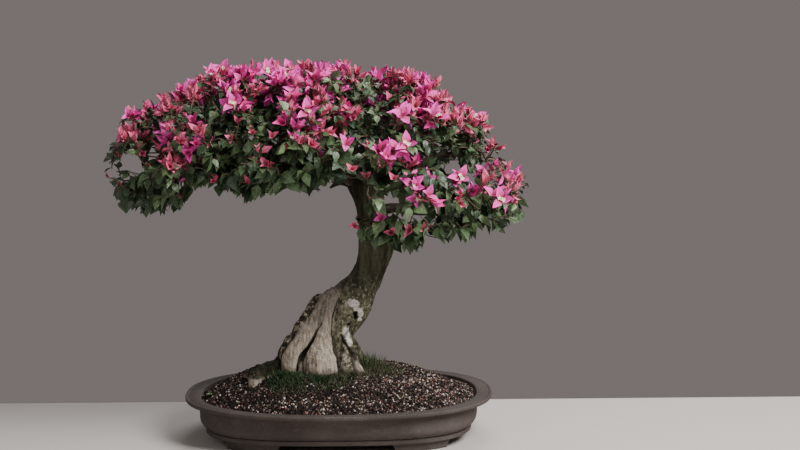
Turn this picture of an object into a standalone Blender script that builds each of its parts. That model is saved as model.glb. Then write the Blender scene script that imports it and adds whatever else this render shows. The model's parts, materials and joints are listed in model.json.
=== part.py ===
"""Bougainvillea bonsai in its oval pot.

A leaning trunk with an old, wide foot stands on mounded soil in a shallow oval pot.
Tapering boughs leave it at the fork, and each carries one mass of leaves and blossom.
Metres, +Z up. The origin lies on the table, under the middle of the whole tree's box.
"""

import math
import random

import bmesh
import bpy
from mathutils import Matrix, Vector
from mathutils.bvhtree import BVHTree

GAP = 0.0003  # left between pieces that touch
CUTTER_EASE = 1.3  # a limb's cutter is this many gaps wider, as its flat sides lie further in

# The pot
POT_X = 0.0294  # the pot's middle, to the right of the crown's middle
POT_HEIGHT = 0.064
POT_HALF_LENGTH = 0.240
POT_HALF_DEPTH = 0.187
RIM_WIDTH = 0.024
RIM_WIDTH_FRONT = 0.0165
LIP_HEIGHT = 0.0065
FOOT_HEIGHT = 0.013
FLOOR_TOP = 0.023
RIM_ROUNDNESS = 2.35  # exponents of the superellipse, where 2 is a true ellipse
COVE_ROUNDNESS = 2.7
BASE_ROUNDNESS = 3.0
RIM_EASE = 0.0015  # how far the rim's corners are broken
LIP_DRAFT = 0.0005
COVE_HEIGHT = 0.010  # inside, the floor curves up into the wall
COVE_FOOT = 0.020  # from the mouth in to the floor's edge
COVE_TOP = 0.006
# the wall and the belt under the lip, downward: height, half length, half depth, roundness
POT_WALL = (
    (0.0560, 0.2225, 0.1735, 2.5),
    (0.0470, 0.2180, 0.1705, 2.7),
    (0.0340, 0.2165, 0.1690, 2.85),
    (0.0260, 0.2125, 0.1650, 3.0),
    (0.0210, 0.2060, 0.1590, 3.0),
    (0.0205, 0.2075, 0.1605, 3.0),
    (0.0140, 0.2075, 0.1605, 3.0),
    (0.0130, 0.2045, 0.1575, 3.0),
)
POT_SEGMENTS = 36
FOOT_START = 0.079  # a foot runs along the belt between these distances from the middle
FOOT_END = 0.178
FOOT_HALF_LENGTH = 0.2030  # of the oval that the feet's outer faces follow
FOOT_HALF_DEPTH = 0.1560
FOOT_THICKNESS = 0.016
FOOT_STEP = 0.010  # how far a foot's ends draw in towards the table
FOOT_DRAFT = 0.002
FOOT_SINK = 0.003  # how far a foot's top is let into the pot
FOOT_STATIONS = 7

# The soil
SOIL_EDGE = 0.0585
GROUND = 0.1000  # the level top of the mound, where the trunk stands
MOUND_X = 0.012
MOUND_HALF_LENGTH = 0.098
MOUND_HALF_DEPTH = 0.074
SOIL_EASE = 0.0012  # from the mouth of the pot in to the soil's edge
SLOPE_RINGS = 5
SLOPE_POWER = 1.2  # above 1, the mound's slope starts gently at the rim

# The trunk: height, middle X, middle Y, half width, half depth
TRUNK_SECTIONS = (
    (0.100, 0.000, 0.000, 0.066, 0.056),
    (0.114, -0.003, 0.000, 0.060, 0.050),
    (0.134, -0.002, 0.001, 0.053, 0.045),
    (0.155, 0.005, 0.002, 0.050, 0.043),
    (0.178, 0.019, 0.003, 0.053, 0.042),
    (0.200, 0.030, 0.004, 0.051, 0.040),
    (0.214, 0.037, 0.005, 0.047, 0.037),
    (0.223, 0.050, 0.005, 0.038, 0.033),
    (0.232, 0.062, 0.005, 0.031, 0.030),
    (0.244, 0.073, 0.005, 0.027, 0.028),
    (0.262, 0.083, 0.004, 0.026, 0.026),
    (0.280, 0.089, 0.002, 0.026, 0.026),
    (0.304, 0.089, 0.000, 0.028, 0.026),
    (0.330, 0.087, 0.000, 0.026, 0.025),
    (0.354, 0.082, 0.001, 0.023, 0.022),
    (0.374, 0.072, 0.002, 0.020, 0.020),
    (0.392, 0.061, 0.002, 0.019, 0.018),
    (0.410, 0.052, 0.001, 0.015, 0.014),
    (0.418, 0.049, 0.001, 0.008, 0.008),
)
TRUNK_SIDES = 18
FLUTES = 5  # lobes of old wood round the foot, which fade out up the trunk
FLUTE_DEPTH = 0.16
FLUTE_TOP = 0.225
FLUTE_START = 0.7  # radians from +X to the first lobe, at the ground
FLUTE_TWIST = 6.0  # radians that the lobes turn in a metre of height
FOOT_BELOW = 0.02  # the trunk and its roots are cut level this far above where they start

# Roots that spread from the foot: bearing in degrees, reach, thickness
ROOTS = ((-158, 0.088, 0.017), (-96, 0.070, 0.016), (-40, 0.076, 0.015), (12, 0.078, 0.015),
         (76, 0.074, 0.015), (138, 0.082, 0.016))
ROOT_COURSE = ((0.35, 0.128), (0.68, 0.112), (1.0, 0.098))  # share of the reach, and height
ROOT_SQUASH = 0.86  # roots reach less far to the front and back
ROOT_STEP = 0.016
ROOT_TAPER = 0.55  # share of its thickness that a root loses
SNAG = ((0.052, 0.000, 0.392), (0.034, -0.004, 0.394), (0.020, -0.006, 0.385))
SNAG_RADIUS = 0.0042
SNAG_TAPER = 0.6
SNAG_STEP = 0.010
SNAG_SIDES = 6
SURFACE_ROOT = ((-0.042, -0.020, 0.108), (-0.068, -0.034, 0.1075), (-0.088, -0.050, 0.1045),
                (-0.099, -0.068, 0.082))
SURFACE_ROOT_RADII = (0.013, 0.013, 0.013, 0.009)
SURFACE_ROOT_STEP = 0.014
SURFACE_ROOT_SIDES = 9

# Boughs: the limb each grows from, radius at the base and at the tip, and its way
BOUGHS = {
    "bough_left": ("trunk", 0.0125, 0.0062, (
        (0.050, 0.000, 0.404), (-0.010, 0.002, 0.424), (-0.090, 0.004, 0.428),
        (-0.150, 0.002, 0.420), (-0.196, -0.002, 0.402))),
    "bough_top": ("trunk", 0.0105, 0.0055, (
        (0.050, 0.001, 0.408), (0.044, 0.002, 0.440), (0.036, 0.000, 0.482))),
    "bough_right": ("trunk", 0.0110, 0.0055, (
        (0.058, 0.001, 0.396), (0.095, 0.006, 0.410), (0.150, 0.014, 0.424),
        (0.204, 0.018, 0.434))),
    "bough_front": ("trunk", 0.0090, 0.0050, (
        (0.054, 0.001, 0.398), (0.030, -0.034, 0.414), (-0.006, -0.068, 0.424))),
    "bough_back": ("trunk", 0.0090, 0.0050, (
        (0.054, 0.001, 0.400), (0.034, 0.038, 0.416), (0.002, 0.078, 0.432))),
    "bough_top_left": ("bough_left", 0.0085, 0.0048, (
        (0.000, 0.002, 0.422), (-0.036, 0.002, 0.458), (-0.090, 0.000, 0.492))),
    "bough_left_front": ("bough_left", 0.0070, 0.0045, (
        (-0.070, 0.004, 0.428), (-0.108, -0.026, 0.434), (-0.146, -0.050, 0.436))),
    "bough_left_back": ("bough_left", 0.0070, 0.0045, (
        (-0.050, 0.004, 0.427), (-0.092, 0.034, 0.436), (-0.134, 0.060, 0.440))),
    "bough_left_low": ("bough_left", 0.0060, 0.0042, (
        (-0.040, 0.003, 0.426), (-0.060, -0.018, 0.414), (-0.076, -0.032, 0.402))),
    "bough_left_high": ("bough_left", 0.0055, 0.0036, (
        (-0.140, 0.002, 0.422), (-0.190, 0.006, 0.442), (-0.238, 0.006, 0.456))),
    "bough_top_right": ("bough_top", 0.0080, 0.0046, (
        (0.046, 0.002, 0.428), (0.082, 0.000, 0.452), (0.128, 0.000, 0.478))),
    "bough_right_front": ("bough_right", 0.0068, 0.0045, (
        (0.084, 0.004, 0.407), (0.098, -0.030, 0.412), (0.108, -0.062, 0.416))),
    "bough_right_back": ("bough_right", 0.0068, 0.0045, (
        (0.100, 0.007, 0.411), (0.114, 0.040, 0.418), (0.124, 0.074, 0.424))),
    "bough_low": ("trunk", 0.0085, 0.0052, (
        (0.086, 0.000, 0.346), (0.122, -0.006, 0.354), (0.160, -0.012, 0.348),
        (0.200, -0.018, 0.350))),
    "bough_clump": ("trunk", 0.0060, 0.0042, (
        (0.090, -0.004, 0.316), (0.112, -0.030, 0.322), (0.120, -0.044, 0.320))),
}
BOUGH_SIDES = 8
BOUGH_STEP = 0.022  # between a bough's rings
BOUGH_TAPER = 0.8  # below 1, a bough thins soonest near its base

# Masses of foliage: bough, middle, half sizes, share of the upper tips in blossom, seed
MASSES = {
    "foliage_left_tip": ("bough_left", (-0.260, 0.000, 0.382),
        (0.075, 0.088, 0.042), 0.10, 3),
    "foliage_left_high": ("bough_left_high", (-0.288, 0.004, 0.470),
        (0.050, 0.072, 0.056), 0.70, 7),
    "foliage_left_front": ("bough_left_front", (-0.187, -0.086, 0.442),
        (0.080, 0.088, 0.062), 0.75, 1),
    "foliage_left_back": ("bough_left_back", (-0.182, 0.096, 0.446),
        (0.088, 0.092, 0.062), 0.60, 10),
    "foliage_left_low": ("bough_left_low", (-0.100, -0.050, 0.390),
        (0.080, 0.080, 0.040), 0.10, 12),
    "foliage_top_left": ("bough_top_left", (-0.142, 0.000, 0.526),
        (0.100, 0.118, 0.056), 0.95, 2),
    "foliage_front": ("bough_front", (-0.034, -0.130, 0.438),
        (0.092, 0.092, 0.070), 0.50, 7),
    "foliage_top": ("bough_top", (0.034, 0.000, 0.530),
        (0.098, 0.124, 0.058), 0.95, 8),
    "foliage_back": ("bough_back", (-0.020, 0.132, 0.450),
        (0.112, 0.092, 0.076), 0.55, 2),
    "foliage_top_right": ("bough_top_right", (0.168, 0.000, 0.512),
        (0.076, 0.112, 0.062), 0.90, 7),
    "foliage_right_front": ("bough_right_front", (0.114, -0.112, 0.424),
        (0.072, 0.082, 0.054), 0.60, 3),
    "foliage_right_back": ("bough_right_back", (0.134, 0.120, 0.436),
        (0.098, 0.096, 0.068), 0.50, 5),
    "foliage_right_tip": ("bough_right", (0.254, 0.020, 0.455),
        (0.064, 0.096, 0.052), 0.50, 11),
    "foliage_right_low": ("bough_low", (0.256, -0.026, 0.357),
        (0.081, 0.090, 0.058), 0.75, 2),
    "foliage_clump": ("bough_clump", (0.132, -0.058, 0.318),
        (0.086, 0.062, 0.040), 0.35, 4),
}
# The crown's outline from the front, X and Z, and how far its middle reaches in Y
CROWN_TOP = (
    (-0.337, 0.425), (-0.309, 0.455), (-0.298, 0.499), (-0.266, 0.512), (-0.230, 0.530),
    (-0.202, 0.552), (-0.163, 0.578), (-0.105, 0.582), (-0.027, 0.586), (0.050, 0.588),
    (0.097, 0.576), (0.140, 0.577), (0.188, 0.557), (0.216, 0.530), (0.256, 0.508),
    (0.275, 0.478), (0.298, 0.434), (0.320, 0.406), (0.338, 0.380),
)
CROWN_FLOOR = (
    (-0.337, 0.395), (-0.304, 0.346), (-0.289, 0.343), (-0.221, 0.340), (-0.200, 0.368),
    (-0.156, 0.376), (-0.105, 0.361), (-0.064, 0.372), (-0.024, 0.368), (0.030, 0.378),
    (0.047, 0.310), (0.070, 0.290), (0.136, 0.281), (0.230, 0.294), (0.304, 0.315),
    (0.320, 0.330), (0.338, 0.362),
)
CROWN_REACH = 0.223
CROWN_HALF_LENGTH = 0.350
SPACE_SIZE = 1.25  # how far a mass's space may reach, in its ellipsoid's own measure
SPACE_MARGIN = 0.05  # kept to a neighbour's space, in the ellipsoids' own measure
TIP_SPACING = 0.057
TIP_CANDIDATES = 700
AREA_POWER = 1.6  # in the usual formula for an ellipsoid's surface
TIP_DEPTH = (0.45, 0.98)  # how far out in its ellipsoid a twig's tip lies
TIP_INSET = 0.86  # and how far out towards the crown's outline at most
MOST_SHOOTS = 3  # twigs from one stretch
STAGGER = 0.005  # how far twigs from one stretch may start from its middle
DETOUR = 0.35  # how much a twig minds a long way back to the stem
HANDIEST = 5  # places that a twig is tried from
ARCH = 0.45  # share of its span that a twig's bend lies along the heading
TWIG_STEP = 0.045
TWIG_RADIUS = 0.0013
TWIG_SIDES = 3
TWIG_SWELL = 2.4  # exponent by which a twig thickens with the tips that it carries
TWIG_MOST = 0.95  # of the radius of the bough's tip
TWIG_START = 0.7  # a twig's first ring, inside the older twig, beside its second
TWIG_CHECKS = (0.25, 0.5, 0.75, 1)  # where along each stretch of a twig its way is tested
STEM_LENGTH = 0.012
STEM_CONE = 0.6  # cosine of how far from the bough's heading a stem's tip may lie
LIMB_CLEARANCE = 0.0025

# Leaves and bracts, larger than life, as each stands for a small spray
LEAF_LENGTH = 0.044
LEAF_WIDTH = 0.027
BRACT_LENGTH = 0.035
BRACT_WIDTH = 0.027
BUD_HEIGHT = 0.0016  # from a twig's end to the point that its blades' ribs rise to
BLADE_FOLD = 0.12  # how far the midrib lies below the edges, as a share of the width
WIDEST = 0.42  # where along a blade it is widest
NECK = 0.6  # of the way to there, inside of which blades of one spray may touch
BRACT_WAY = (0.75, 0.65, 0.15)  # shares of the heading, of the side it is on, and of up
BRACT_SIZES = (0.9, 1.1)
LEAF_WAY = (0.40, 0.85, -0.30)
LEAF_SIZES = (0.8, 1.1)
LOWEST_BLOSSOM = -0.25  # Z of the way out of a mass, below which no shoot blooms
SPINS = (0.0, 0.5, 1.0, 1.5)  # turns of a spray in radians, of which the fullest is kept
TRIES = 7  # placings that a blade is tried in before it is skipped
TRY_SPREAD = 0.16  # how much further each of them turns the blade
TRY_SHRINK = 0.06  # and by what share it shortens it


def clear_scene():
    for thing in list(bpy.data.objects):
        bpy.data.objects.remove(thing, do_unlink=True)


def new_collection(name):
    collection = bpy.data.collections.new(name)
    bpy.context.scene.collection.children.link(collection)
    return collection


def new_material(name, colour, roughness):
    """A Principled material from an sRGB colour of 0 to 255."""
    material = bpy.data.materials.new(name)
    material.use_nodes = True
    shader = material.node_tree.nodes["Principled BSDF"]
    linear = [((c / 255 + 0.055) / 1.055) ** 2.4 for c in colour]
    shader.inputs["Base Color"].default_value = (*linear, 1.0)
    shader.inputs["Roughness"].default_value = roughness
    shader.inputs["Metallic"].default_value = 0.0
    material.diffuse_color = (*linear, 1.0)
    return material


def new_object(name, shape, collection, material=None):
    """An object from a bmesh, which is freed."""
    mesh = bpy.data.meshes.new(name)
    bmesh.ops.recalc_face_normals(shape, faces=shape.faces)
    shape.to_mesh(mesh)
    shape.free()
    if material:
        mesh.materials.append(material)
    thing = bpy.data.objects.new(name, mesh)
    collection.objects.link(thing)
    return thing


def skinned(shape, rings):
    """Adds rings of points, the faces between them and the first end; returns the rows."""
    rows = [[shape.verts.new(point) for point in ring] for ring in rings]
    for low, high in zip(rows, rows[1:]):
        for i in range(len(low)):
            j = (i + 1) % len(low)
            shape.faces.new((low[i], low[j], high[j], high[i]))
    shape.faces.new(rows[0][::-1])
    return rows


def lofted(rings):
    """A closed bmesh through rings of points, flat at both ends."""
    shape = bmesh.new()
    shape.faces.new(skinned(shape, rings)[-1])
    return shape


def oval(middle_x, z, half_length, half_depth, roundness, segments=POT_SEGMENTS):
    """A level superellipse of points."""
    points = []
    for i in range(segments):
        angle = math.tau * i / segments
        c, s = math.cos(angle), math.sin(angle)
        x = math.copysign(abs(c) ** (2 / roundness), c) * half_length
        y = math.copysign(abs(s) ** (2 / roundness), s) * half_depth
        points.append((middle_x + x, y, z))
    return points


def smooth_way(points, step):
    """Points every step along a smooth curve through the given ones."""
    ends = [points[0] * 2 - points[1], *points, points[-1] * 2 - points[-2]]
    way = []
    for before, start, end, after in zip(ends, ends[1:], ends[2:], ends[3:]):
        count = max(1, round((end - start).length / step))
        for i in range(count):
            t = i / count
            way.append(0.5 * (
                2 * start
                + (end - before) * t
                + (2 * before - 5 * start + 4 * end - after) * t ** 2
                + (3 * start - before - 3 * end + after) * t ** 3
            ))
    return [*way, points[-1].copy()]


def tube_rings(way, radii, sides, spin=0.0):
    """Rings square to the way, turned as little as they can be from one to the next."""
    rings = []
    across = None
    for i, (point, radius) in enumerate(zip(way, radii)):
        along = (way[min(i + 1, len(way) - 1)] - way[max(i - 1, 0)]).normalized()
        if across is None:
            across = along.orthogonal()
        across = (across - along * across.dot(along)).normalized()
        other = along.cross(across)
        rings.append([
            point + radius * (across * math.cos(a) + other * math.sin(a))
            for a in (spin + math.tau * k / sides for k in range(sides))
        ])
    return rings


def boolean(target, operation, tool, solver="EXACT"):
    """Applies a Boolean with another object, or with all of a collection's objects."""
    cut = target.modifiers.new(operation.lower(), "BOOLEAN")
    cut.operation = operation
    cut.solver = solver
    if isinstance(tool, bpy.types.Collection):
        cut.operand_type = "COLLECTION"
        cut.collection = tool
    else:
        cut.object = tool
    depsgraph = bpy.context.evaluated_depsgraph_get()
    result = bpy.data.meshes.new_from_object(target.evaluated_get(depsgraph))
    target.modifiers.remove(cut)
    old = target.data
    target.data = result
    bpy.data.meshes.remove(old)


def shell_volume(faces):
    """Signed volume inside a closed group of triangles."""
    total = 0.0
    for face in faces:
        a, b, c = (corner.co for corner in face.verts)
        total += a.dot(b.cross(c)) / 6
    return total


def keep_largest_body(thing):
    """Drops loose scraps, and fills hollows by dropping the shells round them."""
    shape = bmesh.new()
    shape.from_mesh(thing.data)
    bmesh.ops.triangulate(shape, faces=shape.faces)
    left = set(shape.faces)
    bodies = []
    while left:
        front = [left.pop()]
        body = list(front)
        while front:
            near = [f for edge in front.pop().edges for f in edge.link_faces if f in left]
            for face in near:
                if face in left:
                    left.remove(face)
                    front.append(face)
                    body.append(face)
        bodies.append(body)
    largest = max(bodies, key=shell_volume)
    scraps = [face for body in bodies if body is not largest for face in body]
    bmesh.ops.delete(shape, geom=scraps, context="FACES")
    shape.to_mesh(thing.data)
    shape.free()


def new_cutter(name, shape, collection):
    """An object that only cuts others, and is no part of the tree."""
    cutter = new_object(name + "_cutter", shape, collection)
    cutter.hide_render = True
    cutter.display_type = "WIRE"
    return cutter


def grown_cutter(thing, collection):
    """A cutter like a body with its skin moved out by the gap."""
    shape = bmesh.new()
    shape.from_mesh(thing.data)
    shape.normal_update()
    for vert in shape.verts:
        vert.co += vert.normal * GAP * min(2.0, vert.calc_shell_factor())
    return new_cutter(thing.name, shape, collection)


def boxes_meet(one, other):
    """Whether two objects' boxes overlap."""
    for axis in range(3):
        first = [vert.co[axis] for vert in one.data.vertices]
        second = [vert.co[axis] for vert in other.data.vertices]
        if min(first) > max(second) or min(second) > max(first):
            return False
    return True


def shade(thing, angle=35):
    thing.data.shade_smooth()
    thing.data.set_sharp_from_angle(angle=math.radians(angle))


def make_pot(parts, tools):
    """A shallow oval tray: floor, bulging wall, flat rim, a belt and four feet."""
    inner_length = POT_HALF_LENGTH - RIM_WIDTH
    inner_depth = POT_HALF_DEPTH - RIM_WIDTH_FRONT
    edge, edge_depth = POT_HALF_LENGTH, POT_HALF_DEPTH
    outline = (  # height, half length, half depth, roundness, from the floor out and down
        (FLOOR_TOP, inner_length - COVE_FOOT, inner_depth - COVE_FOOT, BASE_ROUNDNESS),
        (FLOOR_TOP + COVE_HEIGHT, inner_length - COVE_TOP, inner_depth - COVE_TOP, COVE_ROUNDNESS),
        (POT_HEIGHT - RIM_EASE, inner_length, inner_depth, RIM_ROUNDNESS),
        (POT_HEIGHT, inner_length + RIM_EASE, inner_depth + RIM_EASE, RIM_ROUNDNESS),
        (POT_HEIGHT, edge - RIM_EASE, edge_depth - RIM_EASE, RIM_ROUNDNESS),
        (POT_HEIGHT - RIM_EASE, edge, edge_depth, RIM_ROUNDNESS),
        (POT_HEIGHT - LIP_HEIGHT, edge - LIP_DRAFT, edge_depth - LIP_DRAFT, RIM_ROUNDNESS),
        *POT_WALL,
    )
    rings = [oval(POT_X, *row) for row in outline]
    clay = new_material("pot_clay", (78, 69, 65), 0.78)
    pot = new_object("pot", lofted(rings), parts, clay)
    for side_x in (-1, 1):
        for side_y in (-1, 1):
            foot = new_object("foot", foot_shape(side_x, side_y), tools)
            boolean(pot, "UNION", foot)
            bpy.data.objects.remove(foot)
    keep_largest_body(pot)
    shade(pot)


def foot_shape(side_x, side_y):
    """One foot: a low wall that follows the belt, its ends drawn in below."""
    rings = []
    for i in range(FOOT_STATIONS):
        t = i / (FOOT_STATIONS - 1)
        row = []
        for low in (False, True):
            start = FOOT_START + (FOOT_STEP if low else 0)
            end = FOOT_END - (FOOT_STEP if low else 0)
            x = start + (end - start) * t
            along = x / FOOT_HALF_LENGTH
            across = (1 - along ** BASE_ROUNDNESS) ** (1 / BASE_ROUNDNESS)
            outward = Vector((
                along ** (BASE_ROUNDNESS - 1) / FOOT_HALF_LENGTH,
                across ** (BASE_ROUNDNESS - 1) / FOOT_HALF_DEPTH,
                0,
            )).normalized()
            draft = FOOT_DRAFT if low else 0
            height = 0 if low else FOOT_HEIGHT + FOOT_SINK
            outer = Vector((x, FOOT_HALF_DEPTH * across, height)) - outward * draft
            inner = outer - outward * (FOOT_THICKNESS - 2 * draft)
            row.extend((inner, outer) if low else (outer, inner))
        rings.append([
            Vector((POT_X + side_x * point.x, side_y * point.y, point.z)) for point in row
        ])
    return lofted(rings)


def make_soil(parts):
    """The filling of the pot, mounded up to the level ground under the trunk."""
    length = POT_HALF_LENGTH - RIM_WIDTH - GAP
    depth = POT_HALF_DEPTH - RIM_WIDTH_FRONT - GAP
    floor = FLOOR_TOP + GAP
    rings = [
        oval(POT_X, floor, length - COVE_FOOT, depth - COVE_FOOT, BASE_ROUNDNESS),
        oval(POT_X, floor + COVE_HEIGHT, length - COVE_TOP, depth - COVE_TOP, COVE_ROUNDNESS),
        oval(POT_X, SOIL_EDGE, length - SOIL_EASE, depth - SOIL_EASE, RIM_ROUNDNESS),
    ]
    for i in range(1, SLOPE_RINGS + 1):
        t = i / SLOPE_RINGS
        rings.append(oval(
            POT_X + (MOUND_X - POT_X) * t,
            SOIL_EDGE + (GROUND - SOIL_EDGE) * math.sin(t * math.pi / 2) ** SLOPE_POWER,
            length + (MOUND_HALF_LENGTH - length) * t,
            depth + (MOUND_HALF_DEPTH - depth) * t,
            RIM_ROUNDNESS + (2 - RIM_ROUNDNESS) * t,
        ))
    grit = new_material("soil_grit", (74, 62, 56), 0.95)
    soil = new_object("soil", lofted(rings), parts, grit)
    shade(soil)
    return soil


def trunk_ring(height, middle_x, middle_y, half_width, half_depth):
    """A level section of the trunk, lobed near the foot."""
    fade = max(0.0, 1 - (height - GROUND) / (FLUTE_TOP - GROUND))
    turn = FLUTE_START + FLUTE_TWIST * (height - GROUND)
    swell = 1 - FLUTE_DEPTH * fade / 2
    ring = []
    for k in range(TRUNK_SIDES):
        angle = math.tau * k / TRUNK_SIDES
        lobe = 1 + FLUTE_DEPTH * fade * math.cos(FLUTES * angle + turn)
        ring.append(Vector((
            middle_x + half_width * lobe * swell * math.cos(angle),
            middle_y + half_depth * lobe * swell * math.sin(angle),
            height,
        )))
    return ring


def make_trunk(parts, tools, bark):
    """The trunk from its flat foot to the fork, with its spreading roots and a dead snag."""
    foot = TRUNK_SECTIONS[0]
    rings = [trunk_ring(GROUND - FOOT_BELOW, *foot[1:])]
    rings += [trunk_ring(*section) for section in TRUNK_SECTIONS]
    trunk = new_object("trunk", lofted(rings), parts, bark)
    for bearing, reach, thickness in ROOTS:
        out = Vector((math.cos(math.radians(bearing)), math.sin(math.radians(bearing)), 0))
        squash = Vector((1, ROOT_SQUASH, 1))
        way = [
            Vector((foot[1], foot[2], 0)) + out * reach * share * squash + Vector((0, 0, z))
            for share, z in ROOT_COURSE
        ]
        way = smooth_way(way, ROOT_STEP)
        radii = [thickness * (1 - ROOT_TAPER * i / (len(way) - 1)) for i in range(len(way))]
        root = new_object("root", lofted(tube_rings(way, radii, BOUGH_SIDES)), tools)
        boolean(trunk, "UNION", root)
        bpy.data.objects.remove(root)
    way = smooth_way([Vector(point) for point in SNAG], SNAG_STEP)
    radii = [SNAG_RADIUS * (1 - SNAG_TAPER * i / (len(way) - 1)) for i in range(len(way))]
    snag = new_object("snag", lofted(tube_rings(way, radii, SNAG_SIDES)), tools)
    boolean(trunk, "UNION", snag)
    bpy.data.objects.remove(snag)
    spade = bmesh.new()
    middle = Matrix.Translation((0, 0, GROUND + GAP - POT_HALF_LENGTH))
    bmesh.ops.create_cube(spade, size=2 * POT_HALF_LENGTH, matrix=middle)
    cutter = new_object("spade", spade, tools)
    boolean(trunk, "DIFFERENCE", cutter)
    bpy.data.objects.remove(cutter)
    keep_largest_body(trunk)
    shade(trunk, 50)
    return trunk


def fit_to(limb, cutters):
    """Cuts a limb back so that it meets what the cutters stand for across the gap."""
    for cutter in cutters:
        if boxes_meet(limb, cutter):
            boolean(limb, "DIFFERENCE", cutter, "MANIFOLD")
    keep_largest_body(limb)


def make_surface_root(parts, bark, cutters):
    """An old root that arches out of the foot and down the mound."""
    way = smooth_way([Vector(point) for point in SURFACE_ROOT], SURFACE_ROOT_STEP)
    last = len(SURFACE_ROOT_RADII) - 1
    radii = []
    for i in range(len(way)):
        place = last * i / (len(way) - 1)
        k = min(int(place), last - 1)
        low, high = SURFACE_ROOT_RADII[k:k + 2]
        radii.append(low + (high - low) * (place - k))
    rings = tube_rings(way, radii, SURFACE_ROOT_SIDES)
    root = new_object("surface_root", lofted(rings), parts, bark)
    fit_to(root, cutters)
    shade(root, 50)


def make_boughs(parts, tools, bark, trunk_cutter):
    """Tapering limbs, each cut to meet what it grows from; returns their ways and radii."""
    cutters = [trunk_cutter]
    ways = {}
    for name, (_, base_radius, tip_radius, points) in BOUGHS.items():
        way = smooth_way([Vector(point) for point in points], BOUGH_STEP)
        share = [i / (len(way) - 1) for i in range(len(way))]
        radii = [base_radius + (tip_radius - base_radius) * t ** BOUGH_TAPER for t in share]
        bough = new_object(name, lofted(tube_rings(way, radii, BOUGH_SIDES)), parts, bark)
        fit_to(bough, cutters)
        shade(bough, 50)
        wider = [radius + CUTTER_EASE * GAP for radius in radii]
        cutters.append(new_cutter(name, lofted(tube_rings(way, wider, BOUGH_SIDES)), tools))
        ways[name] = (way, radii)
    return ways


def limb_capsules(ways):
    """Straight stretches of every limb, each with its thicker end's radius."""
    capsules = []
    for low, high in zip(TRUNK_SECTIONS, TRUNK_SECTIONS[1:]):
        start = Vector((low[1], low[2], low[0]))
        end = Vector((high[1], high[2], high[0]))
        capsules.append((start, end, max(low[3:] + high[3:])))
    for way, radii in ways.values():
        for start, end, radius in zip(way, way[1:], radii):
            capsules.append((start, end, radius))
    return capsules


def distance_to(point, start, end):
    """From a point to a straight stretch."""
    along = end - start
    t = max(0.0, min(1.0, (point - start).dot(along) / along.length_squared))
    return (point - start - along * t).length


def clear_of_limbs(point, capsules, radius):
    return all(
        distance_to(point, start, end) > thick + radius + LIMB_CLEARANCE
        for start, end, thick in capsules
    )


def depth_in(point, mass):
    """How far out a point lies in a mass's ellipsoid: 0 at the middle, 1 at the edge."""
    _, middle, half, *_ = MASSES[mass]
    return math.sqrt(sum(((point[k] - middle[k]) / half[k]) ** 2 for k in range(3)))


def height_at(x, outline):
    """Z of an outline above an X."""
    for (left, low), (right, high) in zip(outline, outline[1:]):
        if x <= right:
            return low + (high - low) * (x - left) / (right - left)
    return outline[-1][1]


def crown_depth(point):
    """How far out a point lies in the whole crown: 0 at its middle, 1 at its outline."""
    top, floor = height_at(point.x, CROWN_TOP), height_at(point.x, CROWN_FLOOR)
    reach = CROWN_REACH * math.sqrt(max(0.01, 1 - (point.x / CROWN_HALF_LENGTH) ** 2))
    return math.hypot((2 * point.z - top - floor) / (top - floor), point.y / reach)


def in_own_space(point, mass, margin=SPACE_MARGIN):
    """Whether a point is in the crown and nearer a mass's middle than any other's."""
    own = depth_in(point, mass)
    if own > SPACE_SIZE or not CROWN_TOP[0][0] < point.x < CROWN_TOP[-1][0]:
        return False
    if crown_depth(point) > 1:
        return False
    return all(depth_in(point, other) > own + margin for other in MASSES if other != mass)


def spread_tips(mass, chance):
    """Tips spread evenly through the outer part of a mass's own space."""
    _, middle, half, *_ = MASSES[mass]
    sides = ((half[0] * half[1]), (half[0] * half[2]), (half[1] * half[2]))
    area = 4 * math.pi * (sum(side ** AREA_POWER for side in sides) / 3) ** (1 / AREA_POWER)
    candidates = []
    for _ in range(TIP_CANDIDATES):
        way = Vector((chance.gauss(0, 1), chance.gauss(0, 1), chance.gauss(0, 1))).normalized()
        reach = chance.uniform(*TIP_DEPTH)
        point = Vector([middle[k] + half[k] * way[k] * reach for k in range(3)])
        if in_own_space(point, mass, SPACE_MARGIN * 2) and crown_depth(point) < TIP_INSET:
            candidates.append(point)
    wanted = round(area / TIP_SPACING ** 2 * len(candidates) / TIP_CANDIDATES)
    tips = [max(candidates, key=lambda p: depth_in(p, mass))]
    while len(tips) < wanted:
        tips.append(max(candidates, key=lambda p: min((p - tip).length for tip in tips)))
    return tips


def arched_way(start, heading, end):
    """A twig's way: it leaves along the heading and bends over to its end."""
    span = (end - start).length
    bend = start + heading * span * ARCH
    count = max(1, round(span / TWIG_STEP))
    return [
        start * (1 - t) ** 2 + bend * 2 * t * (1 - t) + end * t ** 2
        for t in (i / count for i in range(count + 1))
    ]


def way_is_clear(points, mass, limbs, twigs, sheets):
    """Whether a twig keeps to its own space and clear of limbs, twigs and blades.

    Its first stretch is let off all but the limbs, because it starts inside another twig.
    """
    checked = [
        low.lerp(high, t) for low, high in zip(points, points[1:]) for t in TWIG_CHECKS
    ]
    return all(
        clear_of_limbs(point, limbs, 2 * TWIG_RADIUS)
        and (
            (point - points[0]).length < STEM_LENGTH
            or in_own_space(point, mass)
            and clear_of_limbs(point, twigs, TWIG_RADIUS)
            and not any(sheet.find_nearest(point, 2 * TWIG_RADIUS)[0] for sheet in sheets)
        )
        for point in checked
    )


def best_spray(mass, points, capsules, sheets, chance):
    """The fullest of a few sprays, each turned another way round the twig's end."""
    best = (0.0, [])
    for spin in SPINS:
        ring = tube_rings(points, [TWIG_RADIUS] * len(points), TWIG_SIDES, spin)[-1]
        blades = spray_blades(mass, ring, points, capsules, sheets, chance)
        if sum(map(bool, blades)) > sum(map(bool, best[1])):
            best = (spin, blades)
    return best


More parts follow.
